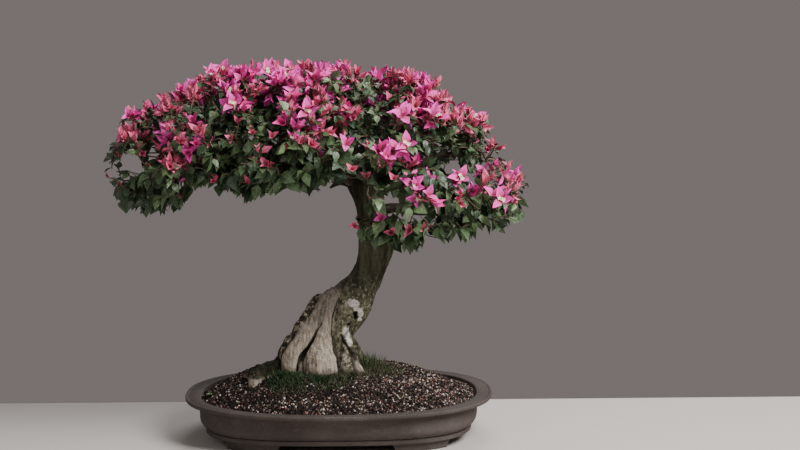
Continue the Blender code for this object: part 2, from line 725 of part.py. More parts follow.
def grow_mass(mass, ways, capsules, chance):
    """Grows one mass by rule.

    The stem runs on from the bough to the furthest tip. Each other tip, nearest first, then
    joins the handiest place on what has grown, which is the middle of a straight stretch.
    A twig is left out if it finds no clear way, or no room for two blades at its end.
    Returns each twig's points, radii, spin and blades.
    """
    bough, bough_radii = ways[MASSES[mass][0]]
    heading = (bough[-1] - bough[-2]).normalized()
    root = bough[-1] + heading * GAP
    own_end = bough[-2:]
    capsules_ahead = [limb for limb in capsules if list(limb[:2]) != own_end]
    tips = sorted(spread_tips(mass, chance), key=lambda tip: (tip - root).length)
    ahead = [tip for tip in tips if (tip - root).normalized().dot(heading) > STEM_CONE]
    tips.remove(ahead[-1])
    tips.insert(0, ahead[-1])
    nodes = [(root, None, heading, 0.0)]
    shoots = {0: 0}  # how many twigs spring from each node that may bear them
    twigs = []
    sheets = []
    stretches = []
    for tip in tips:
        handiest = sorted(
            (n for n in shoots if shoots[n] < MOST_SHOOTS),
            key=lambda n: (tip - nodes[n][0]).length + DETOUR * nodes[n][3],
        )
        for n in handiest[:HANDIEST]:
            if twigs:
                start = nodes[n][0] + nodes[n][2] * chance.uniform(-STAGGER, STAGGER)
                points = arched_way(start, nodes[n][2], tip)
            else:
                start = root
                points = [root, *arched_way(root + heading * STEM_LENGTH, heading, tip)]
            limbs = capsules if twigs else capsules_ahead
            if not way_is_clear(points, mass, limbs, stretches, sheets):
                continue
            spin, blades = best_spray(mass, points, capsules + stretches, sheets, chance)
            if sum(map(bool, blades)) < 2:
                continue
            sheets += [blade_sheet(corners) for corners in blades if corners]
            stretches += [(low, high, TWIG_RADIUS) for low, high in zip(points, points[1:])]
            shoots[n] += 1
            nodes.append((start, n, nodes[n][2], nodes[n][3]))
            twig = [len(nodes) - 1]
            for before, point in zip(points, points[1:]):
                along = (point - before).normalized()
                half_run = (point - before).length / 2
                for place in ((before + point) / 2, point):
                    nodes.append((place, twig[-1], along, nodes[twig[-1]][3] + half_run))
                    twig.append(len(nodes) - 1)
            shoots.update((node, 0) for node in twig[1 if twigs else 3::2])
            shoots.pop(0, None)
            twigs.append((twig, spin, blades))
            break
    carried = [0] * len(nodes)
    for twig, _, _ in twigs:
        n = twig[-1]
        while n is not None:
            carried[n] += 1
            n = nodes[n][1]
    grown = []
    for twig, spin, blades in twigs:
        rings = twig[::2]
        girth = [TWIG_RADIUS * max(1, carried[n]) ** (1 / TWIG_SWELL) for n in rings]
        girth = [min(bough_radii[-1] * TWIG_MOST, radius) for radius in girth]
        if grown:
            girth[0] = min(girth[0], girth[1]) * TWIG_START
        grown.append(([nodes[n][0] for n in rings], girth, spin, blades))
    return grown


def blade_corners(near, far, heading, length, width):
    """A pointed blade that springs from one side of a twig's end, folded along its rib."""
    root = (near + far) / 2
    side = far - near
    side = (side - heading * side.dot(heading)).normalized()
    rise = side.cross(heading) * width * BLADE_FOLD
    widest = root + heading * length * WIDEST
    return {
        "root": root,
        "left": widest - side * width / 2 + rise,
        "tip": root + heading * length,
        "right": widest + side * width / 2 + rise,
        "middle": widest,
    }


def blade_sheet(corners):
    """The outer part of a blade as a thin sheet, to test for crossings."""
    neck = corners["root"].lerp(corners["middle"], NECK)
    points = (neck, corners["left"], corners["tip"], corners["right"], corners["middle"])
    return BVHTree.FromPolygons(points, ((0, 1, 4), (1, 2, 4), (2, 3, 4), (3, 0, 4)))


def blade_fits(corners, mass, capsules, sheets):
    """Whether a blade stays in its own space, clear of limbs, twigs and other blades."""
    tip, left, right, middle = (corners[name] for name in ("tip", "left", "right", "middle"))
    checked = [tip, left, right, middle, (tip + middle) / 2]
    checked += [(left + middle) / 2, (right + middle) / 2, (left + tip) / 2, (right + tip) / 2]
    if not all(
        in_own_space(point, mass) and clear_of_limbs(point, capsules, 0.0) for point in checked
    ):
        return False
    sheet = blade_sheet(corners)
    return not any(sheet.overlap(other) for other in sheets)


def spray_blades(mass, ring, points, capsules, sheets, chance):
    """Three bracts that open round a twig's end, or three leaves that droop from it."""
    _, middle, half, blossom, _ = MASSES[mass]
    place = points[-1]
    heading = (place - points[-2]).normalized()
    outward = Vector([(place[k] - middle[k]) / half[k] for k in range(3)]).normalized()
    in_blossom = outward.z > LOWEST_BLOSSOM and chance.random() < blossom
    if in_blossom:
        length, width, sizes, shares = BRACT_LENGTH, BRACT_WIDTH, BRACT_SIZES, BRACT_WAY
    else:
        length, width, sizes, shares = LEAF_LENGTH, LEAF_WIDTH, LEAF_SIZES, LEAF_WAY
    near_limbs = [
        stretch for stretch in capsules
        if distance_to(place, *stretch[:2]) < 2 * LEAF_LENGTH + stretch[2]
    ]
    near_limbs += [(low, high, 0.0) for low, high in zip(points, points[1:])]
    blades = []
    for near, far in zip(ring, [*ring[1:], ring[0]]):
        radial = ((near + far) / 2 - place).normalized()
        way = heading * shares[0] + radial * shares[1] + Vector((0, 0, shares[2]))
        full = length * chance.uniform(*sizes)
        blades.append(None)
        for attempt in range(TRIES):
            spread = TRY_SPREAD * attempt
            shrink = 1 - TRY_SHRINK * attempt
            tilt = Vector([chance.uniform(-spread, spread) for _ in range(3)])
            turned = (way.normalized() + tilt).normalized()
            corners = blade_corners(near, far, turned, full * shrink, width * shrink)
            if turned.dot(heading) > 0 and blade_fits(corners, mass, near_limbs, sheets):
                blades[-1] = corners
                break
    return blades


def twig_shape(rings, heading, blades):
    """A twig with its end spray: each blade springs from one side of the last ring."""
    shape = bmesh.new()
    end = skinned(shape, rings)[-1]
    bud = shape.verts.new(sum(rings[-1], Vector()) / len(end) + heading * BUD_HEIGHT)
    for i, corners in enumerate(blades):
        near, far = end[i], end[(i + 1) % len(end)]
        if corners is None:
            shape.faces.new((bud, near, far))
            continue
        left, tip, right = (shape.verts.new(corners[name]) for name in ("left", "tip", "right"))
        for upper in ((near, left), (left, tip), (tip, right), (right, far)):
            shape.faces.new((bud, *upper))
        for lower in ((near, tip, left), (near, far, tip), (far, right, tip)):
            shape.faces.new(lower)
    return shape


def make_mass(mass, seed, parts, ways, capsules, leaf_green):
    """One mass: its stem and twigs with their sprays, joined in one body."""
    pieces = bpy.data.collections.new(mass + "_pieces")
    bpy.context.scene.collection.children.link(pieces)
    twigs = grow_mass(mass, ways, capsules, random.Random(seed))
    for way, girth, spin, blades in twigs:
        heading = (way[-1] - way[-2]).normalized()
        rings = tube_rings(way, girth, TWIG_SIDES, spin)
        new_object("twig", twig_shape(rings, heading, blades), pieces)
    stem, *others = list(pieces.objects)
    foliage = bpy.data.objects.new(mass, stem.data)
    foliage.data.materials.append(leaf_green)
    parts.objects.link(foliage)
    bpy.data.objects.remove(stem)
    boolean(foliage, "UNION", pieces, "MANIFOLD")
    for piece in others:
        bpy.data.objects.remove(piece)
    bpy.data.collections.remove(pieces)
    keep_largest_body(foliage)


def build():
    clear_scene()
    parts = new_collection("bougainvillea_bonsai")
    tools = new_collection("cutters")
    bark = new_material("bark", (92, 82, 68), 0.9)
    leaf_green = new_material("foliage", (120, 60, 84), 0.6)
    make_pot(parts, tools)
    soil = make_soil(parts)
    trunk = make_trunk(parts, tools, bark)
    trunk_cutter = grown_cutter(trunk, tools)
    make_surface_root(parts, bark, (grown_cutter(soil, tools), trunk_cutter))
    ways = make_boughs(parts, tools, bark, trunk_cutter)
    capsules = limb_capsules(ways)
    for mass, (*_, seed) in MASSES.items():
        make_mass(mass, seed, parts, ways, capsules, leaf_green)


build()
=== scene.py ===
"""Looks of the bougainvillea bonsai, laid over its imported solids.

The pot, the grit, the trunk and the boughs come first, then each bough's twigs are grown on
by the solids' own rule, and leaves, bracts and flowers are dealt out along them.
Metres and +Z up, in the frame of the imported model. The long tables of places are given in
millimetres.
"""

import json
import math
import random

import bmesh
import bpy
import numpy as np
from mathutils import Matrix, Vector, noise

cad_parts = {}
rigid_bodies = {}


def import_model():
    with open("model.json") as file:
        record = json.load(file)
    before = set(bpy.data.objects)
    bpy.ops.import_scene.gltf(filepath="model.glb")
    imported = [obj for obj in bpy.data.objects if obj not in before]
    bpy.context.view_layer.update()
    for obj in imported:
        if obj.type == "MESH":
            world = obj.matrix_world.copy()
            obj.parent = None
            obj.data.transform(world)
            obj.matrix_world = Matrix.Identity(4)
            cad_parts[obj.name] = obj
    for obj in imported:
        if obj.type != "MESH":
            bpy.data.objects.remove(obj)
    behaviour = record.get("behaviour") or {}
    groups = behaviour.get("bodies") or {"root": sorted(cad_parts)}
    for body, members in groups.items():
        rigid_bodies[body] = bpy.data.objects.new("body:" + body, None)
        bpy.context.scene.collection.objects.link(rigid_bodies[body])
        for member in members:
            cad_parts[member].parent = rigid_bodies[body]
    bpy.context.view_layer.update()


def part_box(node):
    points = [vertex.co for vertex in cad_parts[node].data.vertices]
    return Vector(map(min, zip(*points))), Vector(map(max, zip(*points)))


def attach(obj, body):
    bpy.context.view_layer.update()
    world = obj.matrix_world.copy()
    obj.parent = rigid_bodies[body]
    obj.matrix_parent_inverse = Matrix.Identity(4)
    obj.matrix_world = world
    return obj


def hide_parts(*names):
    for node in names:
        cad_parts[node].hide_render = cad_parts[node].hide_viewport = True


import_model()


# The pot: a shallow oval tray of unglazed brown stoneware, pressed in a mould and smoothed by
# hand. It has a broad flat rim with one incised line, a bulging wall that draws in to a low
# belt, and four long feet with hollowed ends.

def colour(red, green, blue):
    """A linear colour from sRGB values of 0 to 255."""
    return (*(((c / 255 + 0.055) / 1.055) ** 2.4 for c in (red, green, blue)), 1.0)


def shade(tint, factor, lift=0.0):
    """A linear colour made darker or paler."""
    return (*(min(1.0, part * factor + lift) for part in tint[:3]), 1.0)


class Wire:
    """A shader value that can be added, multiplied and compared in plain expressions."""

    def __init__(self, finish, socket):
        self.finish = finish
        self.socket = socket

    def maths(self, operation, *values):
        return self.finish.node("ShaderNodeMath", {"operation": operation}, dict(enumerate(values)))

    def __add__(self, other):
        return self.maths("ADD", self, other)

    def __radd__(self, other):
        return self.maths("ADD", other, self)

    def __sub__(self, other):
        return self.maths("SUBTRACT", self, other)

    def __rsub__(self, other):
        return self.maths("SUBTRACT", other, self)

    def __mul__(self, other):
        return self.maths("MULTIPLY", self, other)

    def __rmul__(self, other):
        return self.maths("MULTIPLY", other, self)

    def between(self, low, high):
        """0 below low, 1 above high, and a smooth step from one to the other."""
        return self.finish.node(
            "ShaderNodeMapRange", {"interpolation_type": "SMOOTHSTEP"}, {0: self, 1: low, 2: high}
        )


class Finish:
    """A material with one Principled shader, whose other nodes all come from one method."""

    def __init__(self, name, roughness, **uniform):
        self.material = bpy.data.materials.new(name)
        self.material.use_nodes = True
        self.tree = self.material.node_tree
        self.shader = self.tree.nodes["Principled BSDF"]
        self.shader.inputs["Roughness"].default_value = roughness
        for socket, value in uniform.items():
            self.shader.inputs[socket.replace("_", " ")].default_value = value

    def feed(self, socket, value):
        if isinstance(value, Wire):
            self.tree.links.new(value.socket, socket)
        else:
            socket.default_value = value

    def node(self, kind, settings=None, inputs=None, output=0):
        """Adds a node: its settings first, then its inputs by index or name."""
        made = self.tree.nodes.new(kind)
        for name, value in (settings or {}).items():
            setattr(made, name, value)
        for key, value in (inputs or {}).items():
            self.feed(made.inputs[key], value)
        return Wire(self, made.outputs[output])

    def place(self, stretch=(1, 1, 1)):
        """Object coordinates, stretched along each axis."""
        where = self.node("ShaderNodeTexCoord", output="Object")
        return self.node("ShaderNodeMapping", inputs={"Vector": where, "Scale": stretch})

    def noise(self, scale, detail=4, roughness=0.55, where=None):
        inputs = {"Scale": scale, "Detail": detail, "Roughness": roughness}
        return self.node("ShaderNodeTexNoise", inputs={"Vector": where or self.place(), **inputs})

    def attribute(self, name):
        return self.node("ShaderNodeAttribute", {"attribute_name": name}, output="Fac")

    def mix(self, factor, first, second):
        """A colour between two others."""
        return self.node("ShaderNodeMix", {"data_type": "RGBA"}, {0: factor, 6: first, 7: second}, 2)

    def tones(self, mask, low, high, dark, light):
        """From a dark sRGB colour to a light one while the mask goes from low to high."""
        return self.mix(mask.between(low, high), colour(*dark), colour(*light))

    def layers(self, tint, *layers):
        """A tint with sRGB colours laid over it in turn, each as far as its mask says."""
        for mask, over in layers:
            tint = self.mix(mask, tint, colour(*over))
        return tint

    def bump(self, height, distance):
        """Relief on the surface, whose height counts in steps of a distance."""
        self.coat("Normal", self.node("ShaderNodeBump", inputs={"Height": height, "Distance": distance}))

    def coat(self, name, value):
        """Feeds one of the shader's own sockets."""
        self.feed(self.shader.inputs[name], value)


def new_piece(name, points, faces, material, smooth=True):
    """A mesh object at the origin."""
    mesh = bpy.data.meshes.new(name)
    mesh.from_pydata([tuple(point) for point in points], [], faces)
    mesh.materials.append(material)
    if smooth:
        mesh.shade_smooth()
    piece = bpy.data.objects.new(name, mesh)
    bpy.context.scene.collection.objects.link(piece)
    return piece


def stand_for(piece, slot, *nodes):
    """Lets a piece ride and replace solids; the slot is not used."""
    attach(piece, "root")
    if nodes:
        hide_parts(*nodes)


POT_LOW, POT_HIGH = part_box("pot")
POT_MIDDLE = (POT_LOW.x + POT_HIGH.x) / 2
POT_HALF_LENGTH = (POT_HIGH.x - POT_LOW.x) / 2
POT_HALF_DEPTH = (POT_HIGH.y - POT_LOW.y) / 2
POT_HEIGHT = POT_HIGH.z
RIM_WIDTH_ENDS = 0.0240
RIM_WIDTH_SIDES = 0.0165
LIP = 0.0065
FOOT_HEIGHT = 0.013
BELT = 0.0075
POT_SIDES = 192
RIM_ROUNDNESS = 2.35  # exponents of the oval, where 2 is a true ellipse
BASE_ROUNDNESS = 3.0
RIM_LINE = 0.0050  # from the rim's outer edge to the incised line
RIM_LINE_DEPTH = 0.0007
EDGE = 0.0016  # radius of the rim's soft edges
FLOOR_TOP = 0.023


def oval_row(half_length, half_depth, z, roundness, sides=POT_SIDES):
    """A level oval of points round the pot's middle."""
    row = []
    for i in range(sides):
        angle = math.tau * i / sides
        c, s = math.cos(angle), math.sin(angle)
        x = math.copysign(abs(c) ** (2 / roundness), c) * half_length
        y = math.copysign(abs(s) ** (2 / roundness), s) * half_depth
        row.append((POT_MIDDLE + x, y, z))
    return row


def ring_faces(rows, sides):
    """Quads between closed rows of points."""
    faces = []
    for low in range(0, (rows - 1) * sides, sides):
        for i in range(sides):
            j = (i + 1) % sides
            faces.append((low + i, low + j, low + sides + j, low + sides + i))
    return faces


def closed_faces(rows, sides):
    """The same with the first and the last row filled."""
    first = tuple(range(sides))
    last = tuple(n + (rows - 1) * sides for n in first)
    return [*ring_faces(rows, sides), first[::-1], last]


def add_body(points, faces, body):
    """Adds another body's points and faces to those of a mesh."""
    body_points, body_faces = body
    faces += [tuple(len(points) + n for n in face) for face in body_faces]
    points += body_points


def pot_profile():
    """Inset from the rim's outer edge at the ends, inset at the sides, height, roundness."""
    profile = [
        (RIM_WIDTH_ENDS + 0.020, RIM_WIDTH_SIDES + 0.020, FLOOR_TOP, BASE_ROUNDNESS),
        (RIM_WIDTH_ENDS + 0.006, RIM_WIDTH_SIDES + 0.006, FLOOR_TOP + 0.010, 2.7),
    ]
    quarter = [math.radians(a) for a in (0, 22.5, 45, 67.5, 90)]
    edge = [(EDGE * (1 - math.cos(a)), POT_HEIGHT - EDGE * (1 - math.sin(a))) for a in quarter]
    for inset, z in edge:
        profile.append((RIM_WIDTH_ENDS - inset, RIM_WIDTH_SIDES - inset, z, RIM_ROUNDNESS))
    for step, dip in ((0.0010, 0.0), (0.0004, 0.7), (0.0, 1.0), (-0.0004, 0.7), (-0.0010, 0.0)):
        inset = RIM_LINE + step
        profile.append((inset, inset, POT_HEIGHT - dip * RIM_LINE_DEPTH, RIM_ROUNDNESS))
    profile += [(inset, inset, z, RIM_ROUNDNESS) for inset, z in edge[::-1]]
    wall_top = POT_HEIGHT - LIP
    profile += [
        (0.0001, 0.0001, wall_top + EDGE, RIM_ROUNDNESS),
        (0.0008, 0.0008, wall_top + 0.0005, RIM_ROUNDNESS),
        (0.0028, 0.0022, wall_top, RIM_ROUNDNESS),
        (0.0155, 0.0120, wall_top - 0.0003, 2.45),
        (0.0175, 0.0135, wall_top - 0.0016, 2.5),
    ]
    belt_top = FOOT_HEIGHT + BELT
    profile += [
        (0.0195, 0.0150, 0.0520, 2.60), (0.0220, 0.0165, 0.0470, 2.70),
        (0.0232, 0.0176, 0.0405, 2.78), (0.0235, 0.0180, 0.0340, 2.85),
        (0.0246, 0.0192, 0.0300, 2.92), (0.0275, 0.0220, 0.0260, BASE_ROUNDNESS),
        (0.0310, 0.0252, 0.0228, BASE_ROUNDNESS), (0.0340, 0.0282, belt_top + 0.0008, BASE_ROUNDNESS),
        (0.0342, 0.0284, belt_top + 0.0002, BASE_ROUNDNESS), (0.0330, 0.0270, belt_top, BASE_ROUNDNESS),
        (0.0325, 0.0265, belt_top - 0.0008, BASE_ROUNDNESS),
        (0.0325, 0.0265, FOOT_HEIGHT + 0.0010, BASE_ROUNDNESS),
        (0.0332, 0.0272, FOOT_HEIGHT + 0.0002, BASE_ROUNDNESS),
        (0.0355, 0.0295, FOOT_HEIGHT, BASE_ROUNDNESS),
    ]
    return profile


def pot_mesh():
    rows = [
        oval_row(POT_HALF_LENGTH - ends, POT_HALF_DEPTH - sides, z, roundness)
        for ends, sides, z, roundness in pot_profile()
    ]
    points = [point for row in rows for point in row]
    faces = closed_faces(len(rows), POT_SIDES)
    for side_x, side_y in ((-1, -1), (-1, 1), (1, -1), (1, 1)):
        add_body(points, faces, foot_mesh(side_x, side_y))
    return points, faces


FOOT_START = 0.079  # a foot runs along the belt between these distances from the middle
FOOT_END = 0.178
FOOT_THICKNESS = 0.016
FOOT_HOLLOW = 0.010  # how far its ends are hollowed in
FOOT_DRAFT = 0.002  # how far its sides lean in
FOOT_EDGE = 0.0006  # its softened lower edge
FOOT_OVERLAP = 0.001  # how far it reaches up into the belt
BELT_INSET = (0.037, 0.031)  # of the feet's outer face from the rim, at the ends and sides
FOOT_ROWS = 9
FOOT_STATIONS = 25


def foot_mesh(side_x, side_y):
    """One foot, whose ends curve in like a cove on the way down."""
    half_length, half_depth = POT_HALF_LENGTH - BELT_INSET[0], POT_HALF_DEPTH - BELT_INSET[1]
    points = []
    for r in range(FOOT_ROWS):
        down = r / (FOOT_ROWS - 1)
        hollow = FOOT_HOLLOW * math.sqrt(1 - (1 - down) ** 2)
        draft = FOOT_DRAFT * down + (FOOT_EDGE if r == FOOT_ROWS - 1 else 0)
        z = (FOOT_HEIGHT + FOOT_OVERLAP) * (1 - down)
        outer_line = []
        inner_line = []
        for i in range(FOOT_STATIONS):
            t = i / (FOOT_STATIONS - 1)
            x = FOOT_START + hollow + (FOOT_END - FOOT_START - 2 * hollow) * t
            y = half_depth * (1 - (x / half_length) ** BASE_ROUNDNESS) ** (1 / BASE_ROUNDNESS)
            out = Vector((
                (x / half_length) ** (BASE_ROUNDNESS - 1) / half_length,
                (y / half_depth) ** (BASE_ROUNDNESS - 1) / half_depth,
            )).normalized()
            for line, inward in ((outer_line, draft), (inner_line, FOOT_THICKNESS - draft)):
                line.append((POT_MIDDLE + side_x * (x - out.x * inward), side_y * (y - out.y * inward), z))
        points += outer_line + inner_line[::-1]
    faces = closed_faces(FOOT_ROWS, 2 * FOOT_STATIONS)
    if side_x * side_y > 0:  # mirrored both ways or not at all
        faces = [face[::-1] for face in faces]
    return points, faces


def face_outwards(piece):
    """Turns the faces of each closed body outwards."""
    shape = bmesh.new()
    shape.from_mesh(piece.data)
    bmesh.ops.recalc_face_normals(shape, faces=shape.faces)
    shape.to_mesh(piece.data)
    shape.free()


clay = Finish("pot_clay_finish", 0.74, Specular_IOR_Level=0.15)
cloud = clay.noise(14, 5)
grain = clay.noise(420, 3)
smear = clay.noise(26, 6, where=clay.place((1, 1, 3.5)))
speck = clay.noise(900, 1).between(0.70, 0.76)
facing = clay.node("ShaderNodeNewGeometry", output="Normal")
upward = clay.node("ShaderNodeSeparateXYZ", inputs={0: facing}, output=2)
clay.coat("Base Color", clay.layers(
    clay.tones(cloud, 0.35, 0.70, (71, 64, 61), (91, 83, 80)),
    (smear.between(0.56, 0.74) * 0.45, (108, 98, 93)),
    (grain.between(0.40, 0.62) * 0.30, (58, 50, 47)),
    (upward.between(0.80, 0.97) * 0.45, (46, 41, 39)),  # painted shade on upward faces, such as the rim's top
    (speck * 0.55, (150, 138, 126)),
))
clay.coat("Roughness", cloud.between(0.3, 0.7) * 0.14 + 0.66)
clay.bump(grain * 0.6 + smear * 0.4, 0.0006)

pot = new_piece("pot_tray", *pot_mesh(), clay.material)
face_outwards(pot)
pot.data.set_sharp_from_angle(angle=math.radians(48))
stand_for(pot, "pot_clay", "pot")


# The grit: a free-draining mix of broken clay, pumice and bark, heaped up to the trunk's foot.
# Here it is a rough mound with thousands of loose grains strewn on it.

MOUND_LOW, MOUND_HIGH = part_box("soil")
GRIT_HALF_LENGTH = (MOUND_HIGH.x - MOUND_LOW.x) / 2
GRIT_HALF_DEPTH = (MOUND_HIGH.y - MOUND_LOW.y) / 2
GRIT_EDGE = 0.0580  # height of the grit where it meets the tray's wall
GROUND = MOUND_HIGH.z
MOUND_X = 0.012  # the level top lies here, with these half sizes
MOUND_HALF_LENGTH = 0.098
MOUND_HALF_DEPTH = 0.074
GRIT_ROUGHNESS = 0.0016
GRIT_SIDES = 160
GRIT_ROWS = 46
SLOPE_BULGE = 1.2  # exponent of the slope's curve
SLOPE_STEPS = 100  # in which a place's height on it is looked up
SLOPE_SHARE = 0.62  # of the rows lie on the slope, the others on the level top
TOP_SHRINK = 0.985  # how far the top's rows draw in to its middle


def mound_ring(t):
    """Middle X, half length, half depth and height of the mound's ring at t, which runs from
    0 at the tray's wall to 1 at the edge of the level top, as the solids have it."""
    return (
        POT_MIDDLE + (MOUND_X - POT_MIDDLE) * t,
        GRIT_HALF_LENGTH + (MOUND_HALF_LENGTH - GRIT_HALF_LENGTH) * t,
        GRIT_HALF_DEPTH + (MOUND_HALF_DEPTH - GRIT_HALF_DEPTH) * t,
        GRIT_EDGE + (GROUND - GRIT_EDGE) * math.sin(t * math.pi / 2) ** SLOPE_BULGE,
    )


def ground_at(x, y):
    """Height of the grit's smooth mound."""
    for step in range(SLOPE_STEPS + 1):
        middle, half_length, half_depth, z = mound_ring(1 - step / SLOPE_STEPS)
        if math.hypot((x - middle) / half_length, y / half_depth) <= 1:
            return z
    return GRIT_EDGE


def mound_mesh():
    """Rows of the mound from the tray's wall to its middle, roughened."""
    points = []
    for r in range(GRIT_ROWS):
        share = r / (GRIT_ROWS - 1)
        t = min(1.0, share / SLOPE_SHARE)
        shrink = 1 - max(0.0, share - SLOPE_SHARE) / (1 - SLOPE_SHARE) * TOP_SHRINK
        middle, half_length, half_depth, z = mound_ring(t)
        roundness = RIM_ROUNDNESS + (2 - RIM_ROUNDNESS) * t
        for x, y, _ in oval_row(half_length * shrink, half_depth * shrink, z, roundness, GRIT_SIDES):
            x += middle - POT_MIDDLE
            spot = Vector((x, y, z))
            lift = noise.noise(spot * 55) * 1.4 + noise.noise(spot * 140) * 0.7 - 0.8
            points.append((x, y, z + lift * GRIT_ROUGHNESS))
    faces = ring_faces(GRIT_ROWS, GRIT_SIDES)
    last = (GRIT_ROWS - 1) * GRIT_SIDES
    faces.append(tuple(range(last, last + GRIT_SIDES)))
    return points, faces


earth = Finish("soil_finish", 0.95, Specular_IOR_Level=0.1)
damp = earth.noise(30, 4)
crumb = earth.noise(330, 4)
earth.coat("Base Color", earth.layers(
    earth.tones(crumb, 0.35, 0.65, (20, 16, 14), (48, 39, 34)),
    (damp.between(0.35, 0.65) * 0.5, (30, 25, 22)),
))
earth.bump(crumb, 0.0015)

mound = new_piece("grit_mound", *mound_mesh(), earth.material)
stand_for(mound, "soil_grit", "soil")


class Tree:
    """A Geometry Nodes tree with named inputs, used as a modifier and then applied."""

    def __init__(self, name, **inputs):
        self.group = bpy.data.node_groups.new(name, "GeometryNodeTree")
        face = self.group.interface
        face.new_socket("Geometry", in_out="OUTPUT", socket_type="NodeSocketGeometry")
        face.new_socket("Geometry", in_out="INPUT", socket_type="NodeSocketGeometry")
        self.ids = {}
        for label, value in inputs.items():
            kind = {float: "Float", int: "Int"}.get(type(value), "Material")
            socket = face.new_socket(
                label.replace("_", " "), in_out="INPUT", socket_type="NodeSocket" + kind
            )
            self.ids[label] = (socket.identifier, value)
        self.given = self.group.nodes.new("NodeGroupInput")
        self.result = self.group.nodes.new("NodeGroupOutput")

    def value(self, label):
        return self.given.outputs[label.replace("_", " ")]

    def node(self, kind, settings=None, inputs=None, output=0):
        made = self.group.nodes.new(kind)
        for name, value in (settings or {}).items():
            setattr(made, name, value)
        for key, value in (inputs or {}).items():
            if isinstance(value, bpy.types.NodeSocket):
                self.group.links.new(value, made.inputs[key])
            else:
                made.inputs[key].default_value = value
        return made.outputs[output]

    def attribute(self, name, kind="FLOAT"):
        return self.node("GeometryNodeInputNamedAttribute", {"data_type": kind}, {"Name": name})

    def random_vector(self, low, high):
        """A random vector between two others for each point, from the tree's own seed."""
        return self.node("FunctionNodeRandomValue", {"data_type": "FLOAT_VECTOR"},
                         {0: low, 1: high, "Seed": self.value("Seed")})

    def product(self, first, second):
        return self.node("ShaderNodeMath", {"operation": "MULTIPLY"}, {0: first, 1: second})

    def grow(self, piece, name, geometry):
        """Ends the tree, runs it on a piece and returns the result as a new plain piece."""
        self.group.links.new(geometry, self.result.inputs[0])
        modifier = piece.modifiers.new(name, "NODES")
        modifier.node_group = self.group
        for identifier, value in self.ids.values():
            modifier[identifier] = value
        depsgraph = bpy.context.evaluated_depsgraph_get()
        mesh = bpy.data.meshes.new_from_object(piece.evaluated_get(depsgraph))
        piece.modifiers.remove(modifier)
        mesh.name = name
        grown = bpy.data.objects.new(name, mesh)
        bpy.context.scene.collection.objects.link(grown)
        return grown

    def grow_from(self, mesh, name, geometry):
        """The same from a bare mesh of points or lines, made real and given its finish."""
        real = self.node("GeometryNodeRealizeInstances", inputs={0: geometry})
        done = self.node("GeometryNodeSetMaterial", inputs={
            "Geometry": real, "Material": self.value("Finish"),
        })
        start = bpy.data.objects.new(name + "_start", mesh)
        bpy.context.scene.collection.objects.link(start)
        grown = self.grow(start, name, done)
        bpy.data.objects.remove(start)
        return grown


CLUMPS_PER_METRE = 48.0
CLUMP_BAND = (0.38, 0.62)  # values of the noise between which a clump gives way to thinner ground
CHIPPING = 0.13  # how far a grain's corners are pushed about, as a share of its size
GRAIN_SHAPES = ((0.55, 0.45, 0.35), (1.35, 1.0, 0.85))  # thinnest and thickest


def strew_grains(name, material, grains, right_share, clumping, size, seed):
    """Loose angular grains lying on the mound, some kinds in clumps and thicker at its right end."""
    tree = Tree("strew_" + name, Grains=float(grains), Right_Share=float(right_share),
                Fewest=1.0 - clumping, Most=1.0 + clumping,
                Grain_Size=float(size), Seed=seed, Finish=material)
    where = tree.node("GeometryNodeInputPosition")
    across = tree.node("ShaderNodeSeparateXYZ", inputs={0: where})
    crowding = tree.node("ShaderNodeMapRange", inputs={
        "Value": across, "From Min": -POT_HALF_LENGTH, "From Max": POT_HALF_LENGTH,
        "To Min": 1.0, "To Max": tree.value("Right_Share"),
    })
    patchy = tree.node("ShaderNodeTexNoise", inputs={"Scale": CLUMPS_PER_METRE, "Detail": 2.0})
    clumps = tree.node("ShaderNodeMapRange", inputs={
        "Value": patchy, "From Min": CLUMP_BAND[0], "From Max": CLUMP_BAND[1],
        "To Min": tree.value("Fewest"), "To Max": tree.value("Most"),
    })
    density = tree.product(tree.product(tree.value("Grains"), crowding), clumps)
    spots = tree.node("GeometryNodeDistributePointsOnFaces", {"distribute_method": "RANDOM"}, {
        "Mesh": tree.given.outputs[0], "Density": density, "Seed": tree.value("Seed"),
    })
    pebble = tree.node("GeometryNodeMeshIcoSphere", inputs={"Radius": 0.5, "Subdivisions": 1})
    chip = tree.node("GeometryNodeSetPosition", inputs={
        "Geometry": pebble, "Offset": tree.random_vector((-CHIPPING,) * 3, (CHIPPING,) * 3),
    })
    turn = tree.random_vector((0, 0, 0), (math.tau,) * 3)
    shape = tree.random_vector(*GRAIN_SHAPES)
    scale = tree.node(
        "ShaderNodeVectorMath", {"operation": "SCALE"}, {0: shape, "Scale": tree.value("Grain_Size")}
    )
    strewn = tree.node("GeometryNodeInstanceOnPoints", inputs={
        "Points": spots, "Instance": chip, "Rotation": turn, "Scale": scale,
    })
    real = tree.node("GeometryNodeRealizeInstances", inputs={0: strewn})
    flat = tree.node("GeometryNodeSetShadeSmooth", inputs={"Geometry": real, "Shade Smooth": False})
    painted = tree.node("GeometryNodeSetMaterial", inputs={0: flat, "Material": tree.value("Finish")})
    stand_for(tree.grow(mound, name, painted), "soil_grit")
